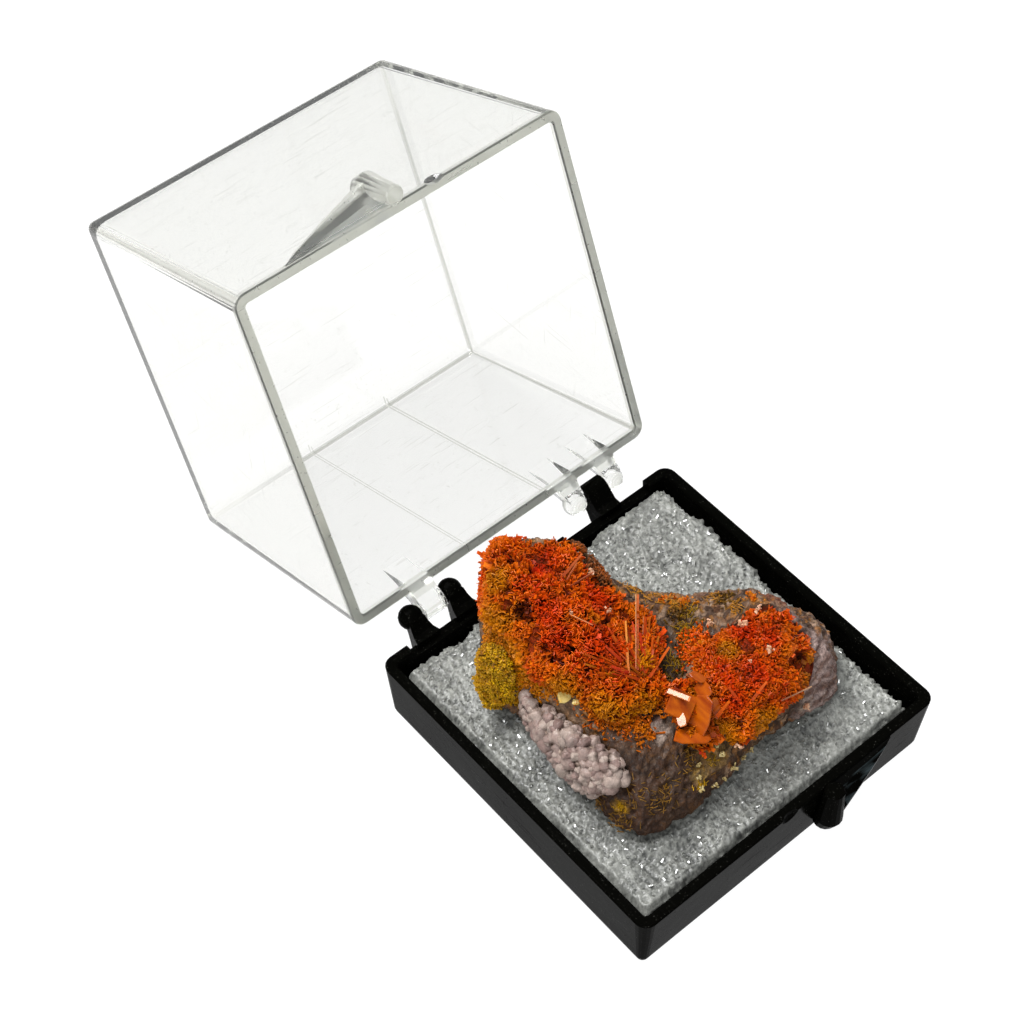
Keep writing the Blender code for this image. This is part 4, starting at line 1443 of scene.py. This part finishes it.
def bevelled_plate(name, center, sizes, facing, spin, finish=plate_finish, outline=CLIPPED):
    """A tablet with bevelled edges. Sizes are in millimetres, spin in degrees."""
    turn = math.radians(spin)
    sideways = view_right.cross(facing).cross(facing).normalized()
    upward = facing.cross(sideways)
    first = math.cos(turn) * sideways + math.sin(turn) * upward
    second = math.cos(turn) * upward - math.sin(turn) * sideways
    width, height, thick = (size * MM / 2 for size in sizes)
    inset = 1 - min(BEVEL, thick * 0.6) / min(width, height)
    points, faces, corners = [], [], len(outline)
    for level, scale in ((-1.0, inset), (-0.5, 1.0), (0.5, 1.0), (1.0, inset)):
        for x, y in outline:
            in_plane = first * x * width * scale + second * y * height * scale
            points.append((center + in_plane + facing * level * thick)[:])
    for ring in range(0, 3 * corners, corners):
        for i in range(corners):
            after = (i + 1) % corners
            upper = ring + corners
            faces.append((ring + i, ring + after, upper + after, upper + i))
    faces += [tuple(range(corners))[::-1], tuple(range(3 * corners, 4 * corners))]
    mesh = bpy.data.meshes.new(name)
    mesh.from_pydata(points, [], faces)
    mesh.materials.append(finish)
    piece = in_scene(name, mesh)
    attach(piece, "tray")
    return piece


def leaning(side, up):
    """A direction that leans away from the camera by two angles in degrees."""
    lean_right = math.tan(math.radians(side)) * view_right
    return (to_camera + lean_right + math.tan(math.radians(up)) * view_up).normalized()


def seen_at(across, down, anchor, lift):
    """The point seen at a pixel, as far away as the growth at an anchor, less a lift in mm."""
    away = (eye - Vector(spot(*anchor)[0])).dot(to_camera) - lift * MM
    return eye + sight(across, down) * (away / FOCAL_PIXELS)


print("plate outlines:", len(SQUARE), "and", len(CLIPPED), "corners")

# %% [markdown]
# ## The plates on the ledge
#
# All eight stand on the ledge, so they take their distance from one pixel there. Otherwise a
# plate could land behind another one that only looks near it.

# %% Large plates
LEDGE = (682, 712)
for name, across, down, sizes, facing, spin, lift, outline in (
    ("plate_tall", 681, 705, (2.1, 2.1, 0.3), leaning(12, 6), -24, 0.35, SQUARE),
    ("plate_glint", 679, 695, (1.9, 0.42, 0.12), mirroring, -26, 0.75, SQUARE),
    ("plate_glint_low", 681, 719, (0.75, 1.3, 0.12), mirroring, 14, 0.65, CLIPPED),
    ("plate_large", 701, 715, (1.8, 3.3, 0.2), leaning(-38, -2), -14, 0.3, CLIPPED),
    ("plate_upper", 703, 690, (1.3, 1.8, 0.2), leaning(-44, 26), 34, 0.1, CLIPPED),
    ("plate_foot", 692, 737, (3.0, 1.3, 0.22), leaning(10, 44), 4, 0.45, CLIPPED),
    ("plate_back", 698, 677, (1.4, 0.9, 0.16), leaning(24, 50), -28, -0.2, CLIPPED),
    ("plate_side", 716, 708, (0.9, 1.8, 0.16), leaning(34, -10), 24, 0.1, CLIPPED),
):
    finish = glint_finish if facing == mirroring else plate_finish
    place = seen_at(across, down, LEDGE, lift)
    bevelled_plate(name, place, sizes, facing, spin, finish, outline)
print("the large plates stand on the ledge at pixel", LEDGE)

# %% [markdown]
# ## Small pale crystals
#
# A few whitish and yellow crystals sit on the specimen: a cream plate and a chip under the left
# mass, peach coloured crystals on and above the right mass, and rows of cream ones at the lower
# right of the rock. The small ones are clusters of blunt tablets.

# %% Small pale crystals
def pale_crystal(name, darker, lighter):
    """A mottled, slightly dented finish between two shades."""
    finish, tree, skin = new_finish(name, darker, 0.3, IOR=1.55)
    shade = steps(tree, grain(tree, 0.35 * MM, 3.0), (0.35, darker), (0.7, lighter))
    tree.links.new(shade, skin.inputs["Base Color"])
    relief(tree, skin, grain(tree, 0.2 * MM, 3.0), 0.05 * MM)
    return finish


cream = pale_crystal("cream_crystal", screen(196, 160, 74), screen(226, 204, 130))
peach = pale_crystal("peach_crystal", screen(176, 120, 88), screen(214, 176, 142))
vein = pale_crystal("cream_vein", screen(128, 104, 52), screen(196, 178, 124))
cream_place = seen_at(566, 695, (566, 699), 0.35)
bevelled_plate("cream_plate", cream_place, (1.5, 1.05, 0.35), leaning(16, 12), 28, cream)
chip_place = seen_at(576, 702, (574, 704), 0.3)
bevelled_plate("cream_chip", chip_place, (0.6, 0.5, 0.3), leaning(-20, 30), -10, cream)


def shards(name, spots, finish, each=5):
    """Small blunt crystals in clusters at some pixels, each (across, down, size in mm)."""
    places, sizes = [], []
    for across, down, size in spots:
        center, out = spot(across, down)
        for _ in range(each):
            places.append(center + (0.3 * out + 0.35 * size * astray(3)) * MM)
            sizes.append(size * rng.uniform((0.5, 0.4, 0.2), (0.9, 0.7, 0.4)) * MM)
    places, sizes = np.array(places), np.array(sizes)
    along = unit(astray(*places.shape))
    plain = np.ones((len(along), 3))
    shape = tablets(places, along, sizes, plain, plain)
    add_piece(name, *shape, finish, "wulfenite", smooth=False)


shards("peach_shards", (
    (770, 650, 0.6), (757, 612, 0.5), (744, 626, 0.5), (708, 624, 0.45), (750, 662, 0.2),
    (572, 614, 0.3), (607, 612, 0.3), (806, 703, 0.5), (738, 742, 0.4), (588, 574, 0.4),
), peach)
shards("cream_shards", (
    (697, 764, 0.28), (698, 776, 0.26), (700, 788, 0.3), (717, 746, 0.32), (720, 754, 0.36),
    (730, 766, 0.42), (741, 756, 0.3), (748, 748, 0.28), (712, 784, 0.3), (722, 776, 0.3),
), vein, 6)
